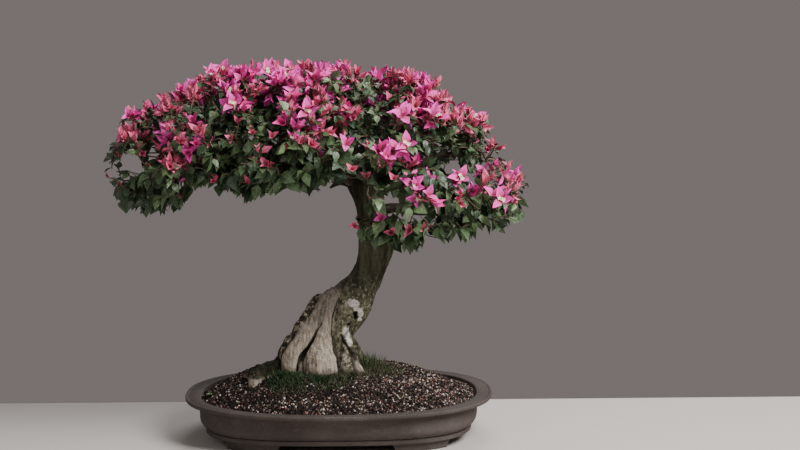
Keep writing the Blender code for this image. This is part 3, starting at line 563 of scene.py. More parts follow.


# kind of grain: dark and light tint, grains per square metre, how many times as many at the
# right end, how much they clump, size, seed
# The lighter kinds grow fewer towards the left partly as the grit's own mix and partly as painted shade,
# where the crown shades the left of the grit.
GRAINS = {
    "grit_dark": ((14, 11, 11), (38, 30, 29), 44000, 1.0, 0.0, 0.0056, 1),
    "grit_brown": ((52, 41, 39), (98, 81, 76), 14000, 3.3, 0.3, 0.0046, 2),
    "grit_red": ((108, 56, 52), (148, 88, 82), 600, 6.4, 0.8, 0.0050, 3),
    "grit_ochre": ((108, 91, 80), (150, 130, 114), 6600, 3.7, 0.7, 0.0041, 4),
    "grit_pale": ((148, 136, 130), (204, 194, 189), 2800, 4.4, 0.8, 0.0044, 5),
}
for label, (dark, light, density, right_share, clumping, size, seed) in GRAINS.items():
    stone = Finish(label + "_finish", 0.9, Specular_IOR_Level=0.2)
    stone.coat("Base Color", stone.tones(stone.noise(160, 2), 0.35, 0.65, dark, light))
    strew_grains(label, stone.material, density, right_share, clumping, size, seed)


# The trunk: an old, leaning stem. Its foot is several strands of root grown together, some
# still under bark, others long dead and weathered to bare, grooved wood with a dark cleft
# between them; above them one round stem runs up to the fork.

def metres(rows):
    """Rows of numbers given in millimetres, in metres."""
    return [tuple(value / 1000 for value in row) for row in rows]


# strand of the foot: share of bare wood, then its way down from the stem: X, Y, Z and radius
# in millimetres
STRANDS = {
    "bark_edge": (0.0, (
        (8, -6, 211, 13), (-4, -17, 196, 15.2), (-15, -24, 178, 15.8), (-29, -28, 157, 15.8),
        (-42, -26.5, 142, 14.8), (-50.5, -23, 125, 13.7), (-55.5, -22, 108, 14.2),
        (-58, -22.5, 88, 14.5))),
    "pale_lobe": (1.0, (
        (20, -14, 224, 8), (6, -22, 206, 9), (-7, -29, 186, 10), (-15, -33, 170, 13),
        (-24, -36, 154, 15), (-33, -38, 139, 14.5), (-40.5, -40, 123, 14.2), (-43, -41, 108, 14.8),
        (-44, -41, 88, 16))),
    "middle_lobe": (1.0, (
        (30, -8, 224, 12), (16.5, -20, 203, 15.5), (12, -26, 186, 14.8), (10, -29, 170, 14.8),
        (7, -33, 154, 18.2), (5, -36, 139, 22.8), (3, -39, 123, 27.2), (3, -40, 108, 28.5),
        (3, -41, 88, 30))),
    "low_web": (0.7, (
        (-23.5, -32, 130, 6), (-29, -38, 116, 9.5), (-30.5, -41, 104, 12), (-31, -42, 88, 14))),
    "right_strand": (0.4, (
        (54, 0, 232, 17), (40, -14, 205, 18), (31, -22, 170, 17), (27, -29, 135, 16),
        (29, -36, 88, 18))),
    "right_bulge": (0.05, (
        (72, 4, 236, 19), (64, -3, 210, 22), (53, -8, 186, 20), (42, -12, 160, 14), (39, -15, 135, 13),
        (44, -16, 88, 17))),
    "right_web": (0.44, (
        (36, -20, 165, 13), (40, -29, 138, 14.5), (45, -35, 112, 17.5), (50, -38, 88, 21))),
    "right_root": (0.58, (
        (35, -24, 160, 9), (43, -32, 136, 9.5), (53, -39, 114, 10.5), (66, -46, 88, 12))),
    "core": (0.0, (
        (60, 6, 224, 22), (42, 8, 204, 28), (18, 11, 172, 33), (4, 12, 132, 38), (0, 10, 88, 44))),
    "left_root": (0.1, (
        (-44, -4, 128, 10), (-60, -10, 110, 11), (-76, -16, 88, 10))),
    "back_left_root": (0.0, (
        (-22, 22, 150, 14), (-46, 36, 118, 12), (-64, 50, 88, 10))),
    "back_root": (0.0, (
        (4, 30, 148, 14), (8, 48, 116, 12), (12, 64, 88, 10))),
    "back_right_root": (0.0, (
        (32, 22, 150, 14), (54, 34, 118, 12), (74, 46, 88, 10))),
    "far_right_root": (0.1, (
        (36, 4, 138, 12), (48, 4, 114, 13), (60, 6, 88, 12))),
}
# the stem above the strands, the dead snag at the fork and the old root on the ground: X, Y,
# Z, radius
STEM = metres((
    (34, 5, 196, 32), (55.4, 4, 217, 28.5), (68, 4, 234, 24.7), (78.6, 4, 252, 24.5), (85, 3, 270, 24.5),
    (90.5, 1, 292, 27.5), (90, 0, 312, 26.5), (87, 0, 332, 24), (81, 1, 356, 21.5), (72, 2, 376, 19),
    (61, 2, 394, 17), (52, 1, 412, 13),
))
SNAG = metres((
    (56, 0, 390, 7.5), (40, -3, 394, 5.5), (30, -5, 392, 4), (19, -6, 385, 2.2),
))
OLD_ROOT = metres((
    (-44, -18, 108, 13), (-60, -28, 107.5, 12.5), (-76, -40, 106, 12.5), (-88, -50, 104.5, 13),
    (-96.5, -59, 95, 12), (-99, -70, 80, 9.5),
))
WOOD_STEP = 0.0035  # between the rings of a strand
WOOD_SIDES = 28
WOOD_VOXEL = 0.00145  # the strands are fused on a grid of this size
WOOD_SOFTENING = 12  # passes that smooth the fused skin
# old wounds on its front, healed white, and the hollows they left: X, Z, radius
SCAR_PATCHES = metres((
    (50, 210.5, 4.5), (54.5, 206.5, 7), (58, 201, 6.2), (60.5, 207.5, 4.5), (64, 196, 4.8),
    (65, 189, 4.8), (63.5, 182.5, 3.6), (43.5, 168, 4.2), (42, 162, 5.5), (44, 156, 5.4),
    (47.5, 150, 4.2), (49, 145.5, 3.2),
))
SCAR_HOLLOW = metres((
    (57, 191, 4), (58, 185, 4), (46.6, 174.5, 2.2),
))
# clefts on the front, between the two bare lobes and beside them, darkened with painted shade: X, Z, half
# width
CLEFTS = (
    metres((
        (4.5, 178, 0.6), (-1.5, 168.5, 0.9), (-7.4, 156.6, 1.1), (-13.2, 146.5, 1.3),
        (-20.6, 136.6, 1.8), (-26.6, 127.2, 2.5), (-30.6, 117.8, 1.6), (-32.7, 108, 1),
    )),
    metres((
        (30.2, 214.3, 0.5), (25.7, 198.6, 0.8), (21.1, 176.7, 0.8), (22.6, 151.5, 0.9),
        (27.2, 129.5, 1.2), (30.2, 110.9, 1.4),
    )),
    metres((
        (36, 160, 0.8), (38.5, 153, 1.3), (44.5, 143, 1.5), (50.5, 132, 1.8), (57.5, 123, 1.4),
    )),
)
CLEFT_DEPTHS = (0.0075, 0.0016, 0.0042)
CLEFT_WAVER = 0.0012  # how far a cleft strays from its line
FRONT_FACE = -0.004  # scars and clefts are cut where the wood lies in front of this
HOLLOW_DEPTH = 0.006
SCAR_LIFT = 0.0008
CREVICE_WIDTH = 0.0040  # between two strands
CREVICE_DEPTH = 0.0008
# how far the wood's relief moves its skin: the grain and the broad swelling, each everywhere
# and more at the foot, the knobs of the bark edge and the old root, and the ragged bare foot
GRAIN_RELIEF = (0.0007, 0.0006)
SWELL_RELIEF = (0.0006, 0.0018)
KNOB_RELIEF = 0.0022
RAGGED_RELIEF = 0.0010
FADES = {  # bands of height over which things on the trunk fade out upwards
    "foot": (0.215, 0.260),
    "crevices": (0.150, 0.190),
    "knobs": (0.190, 0.205),
    "ragged": (0.104, 0.132),
    "earth": (0.098, 0.116),
}
OLD_ROOT_BARK = (0.094, 0.102)  # heights between which the old root's bare wood gives way to bark
MOSS_AND_SHADE_HEIGHTS = (0.0970, 0.1030)  # moss and painted shade set in on its upper side between these
MOSS_AND_SHADE_STRETCH = (0.062, 0.076)  # and ends here, from its upper end


def smooth_way(points, step):
    """Points every step along a smooth curve through the given rows of numbers."""
    rows = [np.array(point, float) for point in points]
    ends = [rows[0] * 2 - rows[1], *rows, rows[-1] * 2 - rows[-2]]
    way = []
    for before, start, end, after in zip(ends, ends[1:], ends[2:], ends[3:]):
        count = max(1, round(np.linalg.norm((end - start)[:3]) / step))
        for i in range(count):
            t = i / count
            way.append(0.5 * (
                2 * start
                + (end - before) * t
                + (2 * before - 5 * start + 4 * end - after) * t ** 2
                + (3 * start - before - 3 * end + after) * t ** 3
            ))
    return np.array([*way, rows[-1]])


def tube_mesh(way, sides, lumps=0.0, seed=0):
    """A closed tube along rows of X, Y, Z and radius, turned as little as it can be."""
    points = []
    across = None
    for i, (x, y, z, radius) in enumerate(way):
        ahead = way[min(i + 1, len(way) - 1)][:3] - way[max(i - 1, 0)][:3]
        along = Vector(ahead).normalized()
        if across is None:
            across = along.orthogonal()
        across = (across - along * across.dot(along)).normalized()
        other = along.cross(across)
        middle = Vector((x, y, z))
        for k in range(sides):
            angle = math.tau * k / sides
            out = across * math.cos(angle) + other * math.sin(angle)
            bulge = 1.0
            if lumps:
                grain = out * 1.6 + Vector((seed * 7.3, 0, i * 0.11))
                bulge += lumps * noise.noise(grain) + 0.5 * lumps * noise.noise(grain * 2.7)
            points.append(middle + out * radius * bulge)
    return points, closed_faces(len(way), sides)


def fuse(piece, voxel, smoothing):
    """Fuses a piece's overlapping bodies into one fine skin."""
    remesh = piece.modifiers.new("fuse", "REMESH")
    remesh.mode = "VOXEL"
    remesh.voxel_size = voxel
    soften = piece.modifiers.new("soften", "SMOOTH")
    soften.factor = 0.5
    soften.iterations = smoothing
    depsgraph = bpy.context.evaluated_depsgraph_get()
    mesh = bpy.data.meshes.new_from_object(piece.evaluated_get(depsgraph))
    piece.modifiers.clear()
    piece.data = mesh


def vertex_rows(items, name):
    """Three numbers of each vertex, read into rows."""
    numbers = np.empty(len(items) * 3)
    items.foreach_get(name, numbers)
    return numbers.reshape(-1, 3)


def paint(mesh, name, values):
    """Stores one number for each vertex, for the material to read."""
    layer = mesh.attributes.new(name, "FLOAT", "POINT")
    layer.data.foreach_set("value", np.asarray(values, np.float32))


def step_up(values, low, high):
    """0 below low, 1 above high, and a smooth step between them."""
    t = np.clip((values - low) / (high - low), 0, 1)
    return t * t * (3 - 2 * t)


def run_along(places):
    """How far along a way of places each of them lies."""
    return np.concatenate([[0], np.cumsum(np.linalg.norm(np.diff(places, axis=0), axis=1))])


def nearest_strands(places, ways):
    """For each place: the nearest strand, how far along it lies, its offset, and the margin
    by which the next strand is farther off."""
    depth = np.full((len(ways), len(places)), np.inf)
    along = np.zeros((len(ways), len(places)))
    offset = np.zeros((len(ways), len(places), 3))
    for s, way in enumerate(ways):
        run = run_along(way[:, :3])
        for station, row in enumerate(way):
            away = places - row[:3]
            gap = np.linalg.norm(away, axis=1) - row[3]
            closer = gap < depth[s]
            depth[s][closer] = gap[closer]
            along[s][closer] = run[station]
            offset[s][closer] = away[closer]
    order = np.argsort(depth, axis=0)
    rows = np.arange(len(places))
    first, second = order[0], order[1]
    margin = depth[second, rows] - depth[first, rows]
    return first, along[first, rows], offset[first, rows], margin


def near_line(places, line):
    """How deep each place lies in a band drawn on the front of the trunk, 1 in its middle."""
    inside = np.zeros(len(places))
    for x, z, half in smooth_way([(x, 0, z, half) for x, z, half in line], 0.001)[:, [0, 2, 3]]:
        gap = np.hypot(places[:, 0] - x, places[:, 2] - z)
        inside = np.maximum(inside, step_up(1 - gap / (2.0 * half), 0.0, 0.75))
    return inside * (places[:, 1] < FRONT_FACE)


def in_patches(places, patches, ragged):
    """How deep each place on the front lies in ragged round patches, 1 in their middle."""
    inside = np.zeros(len(places))
    for x, z, radius in patches:
        gap = np.hypot(places[:, 0] - x, places[:, 2] - z) / radius + ragged * 0.55
        inside = np.maximum(inside, 1 - step_up(gap, 0.75, 1.1))
    return inside * (places[:, 1] < FRONT_FACE)


def fade(heights, name):
    """1 below a named band of heights and 0 above it."""
    return 1 - step_up(heights, *FADES[name])


wood_ways = {name: (bare, metres(way)) for name, (bare, way) in STRANDS.items()}
wood_ways.update(stem=(0.0, STEM), snag=(0.35, SNAG), old_root=(0.60, OLD_ROOT))
strand_names = list(wood_ways)
strand_ways = [smooth_way(way, WOOD_STEP) for _, way in wood_ways.values()]
wood_points, wood_faces = [], []
for way in strand_ways:
    add_body(wood_points, wood_faces, tube_mesh(way, WOOD_SIDES))

bark = Finish("bark_finish", 0.88, Specular_IOR_Level=0.12)
trunk = new_piece("trunk_bark", wood_points, wood_faces, bark.material)
fuse(trunk, WOOD_VOXEL, WOOD_SOFTENING)
wood_places = vertex_rows(trunk.data.vertices, "co")
wood_heights = wood_places[:, 2]
strand, run, away, margin = nearest_strands(wood_places, strand_ways)
on_old_root = strand == strand_names.index("old_root")
on_bark_edge = strand == strand_names.index("bark_edge")
bare = np.array([share for share, _ in wood_ways.values()])[strand]
# the old root is bare low down and under bark higher up; its low bare share is kept below full partly as
# painted shade on its shaded end
bare -= on_old_root * (step_up(wood_heights, *OLD_ROOT_BARK) - 0.25) * 0.6
crevice = (1 - step_up(margin, 0.0, CREVICE_WIDTH)) * (strand < len(STRANDS))
crevice *= fade(wood_heights, "crevices")
ragged = np.array([noise.noise(Vector(place * 170)) for place in wood_places])
scar = in_patches(wood_places, SCAR_PATCHES, ragged)
hollow = in_patches(wood_places, SCAR_HOLLOW, ragged * 0.5)
shaky = wood_places + (CLEFT_WAVER, 0, CLEFT_WAVER) * ragged[:, None]
cleft_depth = np.zeros(len(wood_places))
cleft = np.zeros(len(wood_places))
for line, depth in zip(CLEFTS, CLEFT_DEPTHS):
    inside = near_line(shaky, line)
    cleft_depth = np.maximum(cleft_depth, inside * depth)
    cleft = np.maximum(cleft, inside)

relief = np.zeros(len(wood_places))
swell = np.zeros(len(wood_places))
for i, (place, reach, offset, is_bare) in enumerate(zip(wood_places, run, away, bare)):
    grain = Vector(offset * 120) + Vector((strand[i] * 5.1, 0, reach * 16))
    streak = noise.noise(grain) + 0.6 * noise.noise(grain * 2.4)
    flakes = abs(noise.noise(Vector(place * (1, 1, 0.6) * 130))) + 0.6 * noise.noise(Vector(place * 260))
    relief[i] = is_bare * streak * 1.05 + (1 - is_bare) * (streak * 0.45 + flakes * 0.8)
    swell[i] = noise.noise(Vector(place * 38)) + 0.55 * noise.noise(Vector(place * 84))
low = fade(wood_heights, "foot")
knobby = (on_bark_edge | on_old_root) * fade(wood_heights, "knobs")
shift = relief * (GRAIN_RELIEF[0] + GRAIN_RELIEF[1] * low)
shift += swell * (SWELL_RELIEF[0] + (1 - 0.20 * bare) * SWELL_RELIEF[1] * low)
shift += knobby * swell * KNOB_RELIEF + bare * ragged * RAGGED_RELIEF * fade(wood_heights, "ragged")
shift -= crevice * CREVICE_DEPTH + cleft_depth + hollow * HOLLOW_DEPTH - scar * SCAR_LIFT
moved = wood_places + vertex_rows(trunk.data.vertex_normals, "vector") * shift[:, None]
trunk.data.vertices.foreach_set("co", moved.ravel())
trunk.data.shade_smooth()
paint(trunk.data, "bare_wood", np.maximum(bare, scar))
# painted shade: the crevices between strands, the clefts and the hollows are darkened as if shaded
paint(trunk.data, "crevice", np.maximum.reduce([crevice * 0.7, cleft, hollow]))
paint(trunk.data, "scar", scar)
paint(trunk.data, "relief", relief)
paint(trunk.data, "dark_edge", on_bark_edge | (strand == strand_names.index("left_root")))
rough_height = wood_heights + ragged * 0.0045
top_side = step_up(rough_height, *MOSS_AND_SHADE_HEIGHTS) * (1 - step_up(run + ragged * 0.006, *MOSS_AND_SHADE_STRETCH))
# the old root's upper side: partly moss, partly painted shade where the trunk shades it
paint(trunk.data, "mossy_and_shaded", top_side * on_old_root)
paint(trunk.data, "in_earth", fade(rough_height, "earth") * np.where(on_old_root, 0.55, 1.0))

fine_grain = bark.noise(300, 5, where=bark.place((1, 1, 0.10)))
broad_grain = bark.noise(75, 5, where=bark.place((1, 1, 0.16)))
mottle = bark.noise(150, 5, 0.7)
blotch = bark.noise(34, 4)
height = bark.node("ShaderNodeSeparateXYZ", inputs={0: bark.place()}, output=2)
low_down = 1 - height.between(0.215, 0.262)
flake = bark.noise(230, 4, 0.6, bark.place((1, 1, 0.55)))
# The darker bark tones, which the stem above the foot takes all over, are partly the bark's own colour and
# partly painted shade under the crown.
bark_tint = bark.layers(
    bark.mix(
        low_down * (0.35 + 0.65 * blotch.between(0.36, 0.56)),
        bark.tones(broad_grain, 0.38, 0.66, (45, 45, 36), (90, 88, 71)),
        bark.tones(mottle, 0.36, 0.64, (50, 49, 38), (110, 108, 88)),
    ),
    (low_down * flake.between(0.54, 0.62) * 0.8, (152, 144, 124)),
    (mottle.between(0.56, 0.66) * 0.7, (32, 29, 24)),
)
wood_tint = bark.layers(
    bark.mix(
        height.between(0.142, 0.200) * 0.9,
        bark.tones(fine_grain, 0.34, 0.66, (128, 117, 104), (178, 167, 153)),
        bark.tones(fine_grain, 0.34, 0.66, (90, 82, 75), (124, 115, 107)),
    ),
    (blotch.between(0.52, 0.66) * 0.5, (116, 100, 84)),
)
bare_read = bark.attribute("bare_wood") + (mottle - 0.5) * 0.9
tint = bark.mix(bare_read.between(0.40, 0.60), bark_tint, wood_tint)
dark_edge = bark.tones(flake, 0.50, 0.60, (36, 31, 27), (148, 136, 118))
tint = bark.mix(bark.attribute("dark_edge") * 0.85, tint, dark_edge)
# near-black moss on the old root's top, partly painted shade where the trunk shades it
dark_moss_and_shade = bark.tones(mottle, 0.4, 0.6, (15, 16, 11), (34, 36, 24))
tint = bark.mix(bark.attribute("mossy_and_shaded"), tint, dark_moss_and_shade)
healed = (bark.attribute("scar") + (flake - 0.5) * 1.6).between(0.42, 0.58)
chalky = bark.tones(mottle, 0.35, 0.65, (150, 146, 140), (214, 210, 204))
bark.coat("Base Color", bark.layers(
    bark.mix(healed, tint, chalky),
    # painted shade in the crevices, clefts and hollows
    (bark.attribute("crevice").between(0.12, 0.80) * 0.90, (24, 20, 17)),
    ((0.0 - bark.attribute("relief")).between(0.15, 0.8) * 0.5, (46, 40, 33)),
    (bark.attribute("in_earth") * 0.70, (50, 43, 35)),
))
bark.bump(fine_grain * 0.5 + mottle * 0.8, 0.0016)
stand_for(trunk, "bark", "trunk", "surface_root")


# The boughs: living limbs under thin, ridged bark, each grown out of the stem or out of an
# older bough, and thinning towards the twigs that it bears.

# bough: radius at the base and at the tip, and its way, in millimetres
BOUGHS = {
    "bough_left": (12.5, 6.2, (
        (62, 0, 396), (50, 0, 404), (-10, 2, 424), (-90, 4, 428), (-150, 2, 420), (-196, -2, 402))),
    "bough_top": (10.5, 5.5, ((52, 1, 398), (44, 2, 440), (36, 0, 482))),
    "bough_right": (11, 5.5, ((58, 1, 390), (95, 6, 410), (150, 14, 424), (204, 18, 434))),
    "bough_front": (9, 5, ((56, 1, 392), (30, -34, 414), (-6, -68, 424))),
    "bough_back": (9, 5, ((56, 1, 394), (34, 38, 416), (2, 78, 432))),
    "bough_top_left": (8.5, 4.8, ((0, 2, 422), (-36, 2, 458), (-90, 0, 492))),
    "bough_left_front": (7, 4.5, ((-70, 4, 428), (-108, -26, 434), (-146, -50, 436))),
    "bough_left_back": (7, 4.5, ((-50, 4, 427), (-92, 34, 436), (-134, 60, 440))),
    "bough_left_low": (6, 4.2, ((-40, 3, 426), (-60, -18, 414), (-76, -32, 402))),
    "bough_left_high": (5.5, 3.6, ((-140, 2, 422), (-190, 6, 442), (-238, 6, 456))),
    "bough_top_right": (8, 4.6, ((46, 2, 428), (82, 0, 452), (128, 0, 478))),
    "bough_right_front": (6.8, 4.5, ((84, 4, 407), (98, -30, 412), (108, -62, 416))),
    "bough_right_back": (6.8, 4.5, ((100, 7, 411), (114, 40, 418), (124, 74, 424))),
    "bough_low": (8.5, 5.2, ((86, 0, 346), (122, -6, 354), (160, -12, 348), (200, -18, 350))),
    "bough_clump": (6, 4.2, ((90, -4, 316), (112, -30, 322), (120, -44, 320))),
}
BOUGH_TAPER = 0.8  # a bough thins faster near its base
BOUGH_STEP = 0.0032  # between its rings
BOUGH_SIDES = 16
BOUGH_LUMPS = 0.16  # unevenness, as a share of its radius

bough_ways = {}
bough_points, bough_faces = [], []
for seed, (name, (base, tip, points)) in enumerate(BOUGHS.items()):
    last = len(points) - 1
    rows = [(*point, base + (tip - base) * (i / last) ** BOUGH_TAPER) for i, point in enumerate(points)]
    way = smooth_way(metres(rows), BOUGH_STEP)
    bough_ways[name] = way
    add_body(bough_points, bough_faces, tube_mesh(way, BOUGH_SIDES, BOUGH_LUMPS, seed))
limb_bark = Finish("bough_finish", 0.9)
ridge = limb_bark.noise(210, 5, where=limb_bark.place((0.35, 1, 1)))
patch = limb_bark.noise(60, 4)
limb_bark.coat("Base Color", limb_bark.layers(
    limb_bark.tones(ridge, 0.35, 0.65, (36, 31, 26), (84, 75, 62)),
    (patch.between(0.5, 0.7) * 0.5, (92, 88, 70)),
))
limb_bark.bump(ridge, 0.0010)
boughs = new_piece("boughs", bough_points, bough_faces, limb_bark.material)
stand_for(boughs, "bark", *BOUGHS)


# The crown's frame: every bough ends in a mass of twigs. Each twig grew towards its own
# stretch of open air, leaving an older twig at an arch, and is thicker the more it carries.

# mass: bough that bears it, middle and half sizes in millimetres, share of its shoots that
# bloom, fullness
MASSES = {
    "left_tip": ("bough_left", (-260, 0, 382), (75, 88, 42), 0.10, 0.75),
    "left_high": ("bough_left_high", (-288, 4, 470), (50, 72, 56), 0.70, 0.70),
    "left_front": ("bough_left_front", (-187, -86, 442), (80, 88, 62), 0.75, 1.00),
    "left_back": ("bough_left_back", (-182, 96, 446), (88, 92, 62), 0.60, 0.90),
    "left_low": ("bough_left_low", (-100, -50, 390), (80, 80, 40), 0.10, 0.75),
    "top_left": ("bough_top_left", (-142, 0, 526), (100, 118, 56), 0.95, 1.10),
    "front": ("bough_front", (-34, -130, 438), (92, 92, 70), 0.50, 1.00),
    "top": ("bough_top", (34, 0, 530), (98, 124, 58), 0.95, 1.10),
    "back": ("bough_back", (-20, 132, 450), (112, 92, 76), 0.55, 0.95),
    "top_right": ("bough_top_right", (168, 0, 512), (76, 112, 62), 0.90, 1.05),
    "right_front": ("bough_right_front", (114, -112, 424), (72, 82, 54), 0.60, 0.95),
    "right_back": ("bough_right_back", (134, 120, 436), (98, 96, 68), 0.50, 0.85),
    "right_tip": ("bough_right", (254, 20, 455), (64, 96, 52), 0.30, 0.75),
    "right_low": ("bough_low", (256, -26, 357), (81, 90, 58), 0.75, 0.85),
    "clump": ("bough_clump", (132, -58, 318), (86, 62, 40), 0.35, 0.60),
}
# the crown's outline seen from the front, X and Z, its reach to front and back, half length
CROWN_TOP = metres((
    (-337, 432), (-314, 468), (-304, 508), (-268, 519), (-232, 537), (-204, 556), (-166, 578),
    (-105, 582), (-27, 586), (50, 588), (97, 576), (140, 577), (188, 557), (216, 530), (256, 508),
    (275, 478), (298, 434), (320, 406), (338, 380),
))
CROWN_FLOOR = metres((
    (-337, 395), (-304, 346), (-289, 343), (-221, 340), (-200, 368), (-156, 376), (-105, 361),
    (-64, 372), (-24, 368), (30, 378), (47, 310), (70, 290), (136, 281), (230, 294), (304, 315),
    (320, 330), (338, 362),
))
# the crown's ragged lower rim as seen from the front, with single leaves that hang lower
LOWER_RIM = metres((
    (-337, 420), (-323, 388), (-306, 352), (-288, 344), (-238, 341), (-217, 341), (-200, 370),
    (-190, 388), (-162, 392), (-155, 382), (-135, 378), (-112, 362), (-101, 360), (-90, 376), (-60, 378),
    (-52, 392), (-36, 390), (-26, 371), (4, 370), (16, 390), (42, 396), (56, 330), (66, 290), (118, 292),
    (134, 280), (151, 280), (173, 288), (229, 292), (245, 308), (303, 314), (321, 330), (338, 380),
))
CROWN_REACH = 0.223
CROWN_HALF_LENGTH = 0.350
SPACE_SIZE = 1.28  # how far a mass's twigs reach, in its ellipsoid's own measure
SHOOTS_IN_MASS = 84
SHOOT_DEPTH = (0.30, 1.20)  # how far out in its ellipsoid a shoot ends
CROWN_EDGE = (0.74, 0.88)  # and how far out towards the crown's outline at most
INNERMOST = 0.34  # and how far out of the crown's middle at least
RIM_MARGIN = 0.008  # shoots end at least this far above the lower rim
FULL_MASS = 0.00045  # product of the half sizes of a mass that bears just SHOOTS_IN_MASS
MASS_POWER = 0.6  # other masses bear shoots by their own product to this power
TWIG_SEED = 40  # of the first mass, and one more for each of the others
CANDIDATES = 6000  # places that a mass's shoot ends are picked from
MOST_TWIGS = 3  # from one joint of an older twig
DETOUR = 0.35  # how much a twig minds a long way back to the bough
JOINTS_TRIED = 8  # joints that a shoot tries before it is given up
TWIG_STEP = 0.011  # between its joints
TWIG_RADIUS = 0.00085  # of one shoot
TWIG_SWELL = 2.4  # a twig's radius to this power grows with the number of shoots it carries
TWIG_SWAY = 0.0022
TWIG_CLEARANCE = 0.0022  # from the trunk and every bough but the one that bears it
BOUGH_END = 0.022  # the stretch of that bough that a twig may touch
ALONG_OLD = 0.55  # how far a twig leaves along the older one
FOR_END = 0.45  # and how far straight for its end
TWIG_ARCH = 0.42  # how far along its span a twig keeps its first heading
AHEAD = 0.6  # a mass's first twig ends this straight ahead of its bough, as a cosine
TWIG_ROOT = 0.004  # how deep a mass's first twig starts inside its bough
ROOT_SHARE = 0.92  # its radius beside the bough's tip
VIEW_FROM = (0.1278, -3.0, 0.707)  # where the photograph was taken from
# gaps through the crown as seen from there: X, Z, half width, half height
OPENINGS = metres((
    (-287, 483, 11, 11), (-290, 427, 16, 13), (-253, 483, 6, 6), (-256, 440, 10, 9), (-187, 521, 8, 6),
    (-174, 528, 7, 6), (-211, 395, 11, 6), (208, 412, 17, 8), (266, 432, 13, 10), (115, 359, 16, 9),
    (84, 376, 8, 6), (154, 427, 6, 7), (56, 372, 24, 30), (36, 340, 20, 40), (173, 300, 10, 12),
))


def unit(vector):
    return vector / np.linalg.norm(vector)


def crown_place(places):
    """Where places lie between the crown's floor, -1, and its top, 1, and how far out."""
    top = np.interp(places[:, 0], *np.transpose(CROWN_TOP))
    floor = np.interp(places[:, 0], *np.transpose(CROWN_FLOOR))
    reach = CROWN_REACH * np.sqrt(np.maximum(0.01, 1 - (places[:, 0] / CROWN_HALF_LENGTH) ** 2))
    level = (2 * places[:, 2] - top - floor) / (top - floor)
    return level, np.hypot(level, places[:, 1] / reach)


def ellipsoid(mass):
    """A mass's middle and half sizes in metres."""
    return np.array(MASSES[mass][1:3]) / 1000


def depth_in(places, mass):
    """How far out places lie in a mass's ellipsoid: 0 at the middle, 1 at the edge."""
    middle, half = ellipsoid(mass)
    return np.linalg.norm((places - middle) / half, axis=1)


def in_own_space(places, mass):
    """Whether places are in the crown and nearer a mass's middle than any other's."""
    own = depth_in(places, mass)
    others = np.min([depth_in(places, other) for other in MASSES if other != mass], axis=0)
    return (own < SPACE_SIZE) & (own < others) & (crown_place(places)[1] < 1)


def seen_place(places):
    """X and Z at which places on the crown are seen from the front, against the plane Y = 0."""
    x, y, z = VIEW_FROM
    spread = -y / (places[:, 1] - y)
    return x + (places[:, 0] - x) * spread, z + (places[:, 2] - z) * spread


def seen_gap(places, x, z, behind):
    """How far from a spot on the front places are seen, where those farther back count more."""
    seen_x, seen_z = seen_place(places)
    return np.hypot(seen_x - x, seen_z - z) + behind * (places[:, 1] + CROWN_REACH)


def in_ovals(places, ovals):
    """For each place, the number of the first oval it is seen in, or -1."""
    x, z = seen_place(places)
    found = np.full(len(places), -1)
    for i, (middle_x, middle_z, half_x, half_z, *_) in reversed(list(enumerate(ovals))):
        found[np.hypot((x - middle_x) / half_x, (z - middle_z) / half_z) < 1] = i
    return found


def above_rim(places):
    """How far above the crown's lower rim places are seen from the front."""
    x, z = seen_place(places)
    return z - np.interp(x, *np.transpose(LOWER_RIM))


def spread_ends(mass, chance):
    """Shoot ends spread evenly through the outer part of a mass's own space."""
    middle, half = ellipsoid(mass)
    fullness = MASSES[mass][4]
    ways = chance.normal(size=(CANDIDATES, 3))
    ways /= np.linalg.norm(ways, axis=1)[:, None]
    places = middle + ways * half * chance.uniform(*SHOOT_DEPTH, CANDIDATES)[:, None]
    out = crown_place(places)[1]
    places = places[
        in_own_space(places, mass)
        & (out < chance.uniform(*CROWN_EDGE, CANDIDATES)) & (out > INNERMOST)
        & (in_ovals(places, OPENINGS) < 0) & (above_rim(places) > RIM_MARGIN)
    ]
    wanted = round(SHOOTS_IN_MASS * fullness * (half[0] * half[1] * half[2] / FULL_MASS) ** MASS_POWER)
    ends = [places[0]]
    gap = np.linalg.norm(places - ends[0], axis=1)
    while len(ends) < wanted:
        ends.append(places[gap.argmax()])
        gap = np.minimum(gap, np.linalg.norm(places - ends[-1], axis=1))
    return np.array(ends)


def arched_twig(start, heading, end, chance):
    """A twig's way: off along the heading, over to its end, with a slight sway."""
    span = np.linalg.norm(end - start)
    bend = start + heading * span * TWIG_ARCH
    count = max(2, round(span / TWIG_STEP))
    t = np.linspace(0, 1, count + 1)[:, None]
    points = start * (1 - t) ** 2 + bend * 2 * t * (1 - t) + end * t ** 2
    points[1:-1] += chance.normal(size=(count - 1, 3)) * TWIG_SWAY * (4 * t * (1 - t))[1:-1]
    return points


# the trunk and the boughs, thinned out to rows that the twigs keep clear of
limb_rows = np.concatenate([way[::2] for way in bough_ways.values()] + [smooth_way(STEM, 0.006)])


def clear_of_limbs(points, own):
    """Whether a way keeps off the trunk and every bough but the end that bears it."""
    away = np.linalg.norm(points[:, None] - limb_rows[None, :, :3], axis=2) - limb_rows[:, 3]
    near_own = np.linalg.norm(points - own, axis=1) < BOUGH_END
    return (away.min(axis=1)[~near_own] > TWIG_CLEARANCE).all()


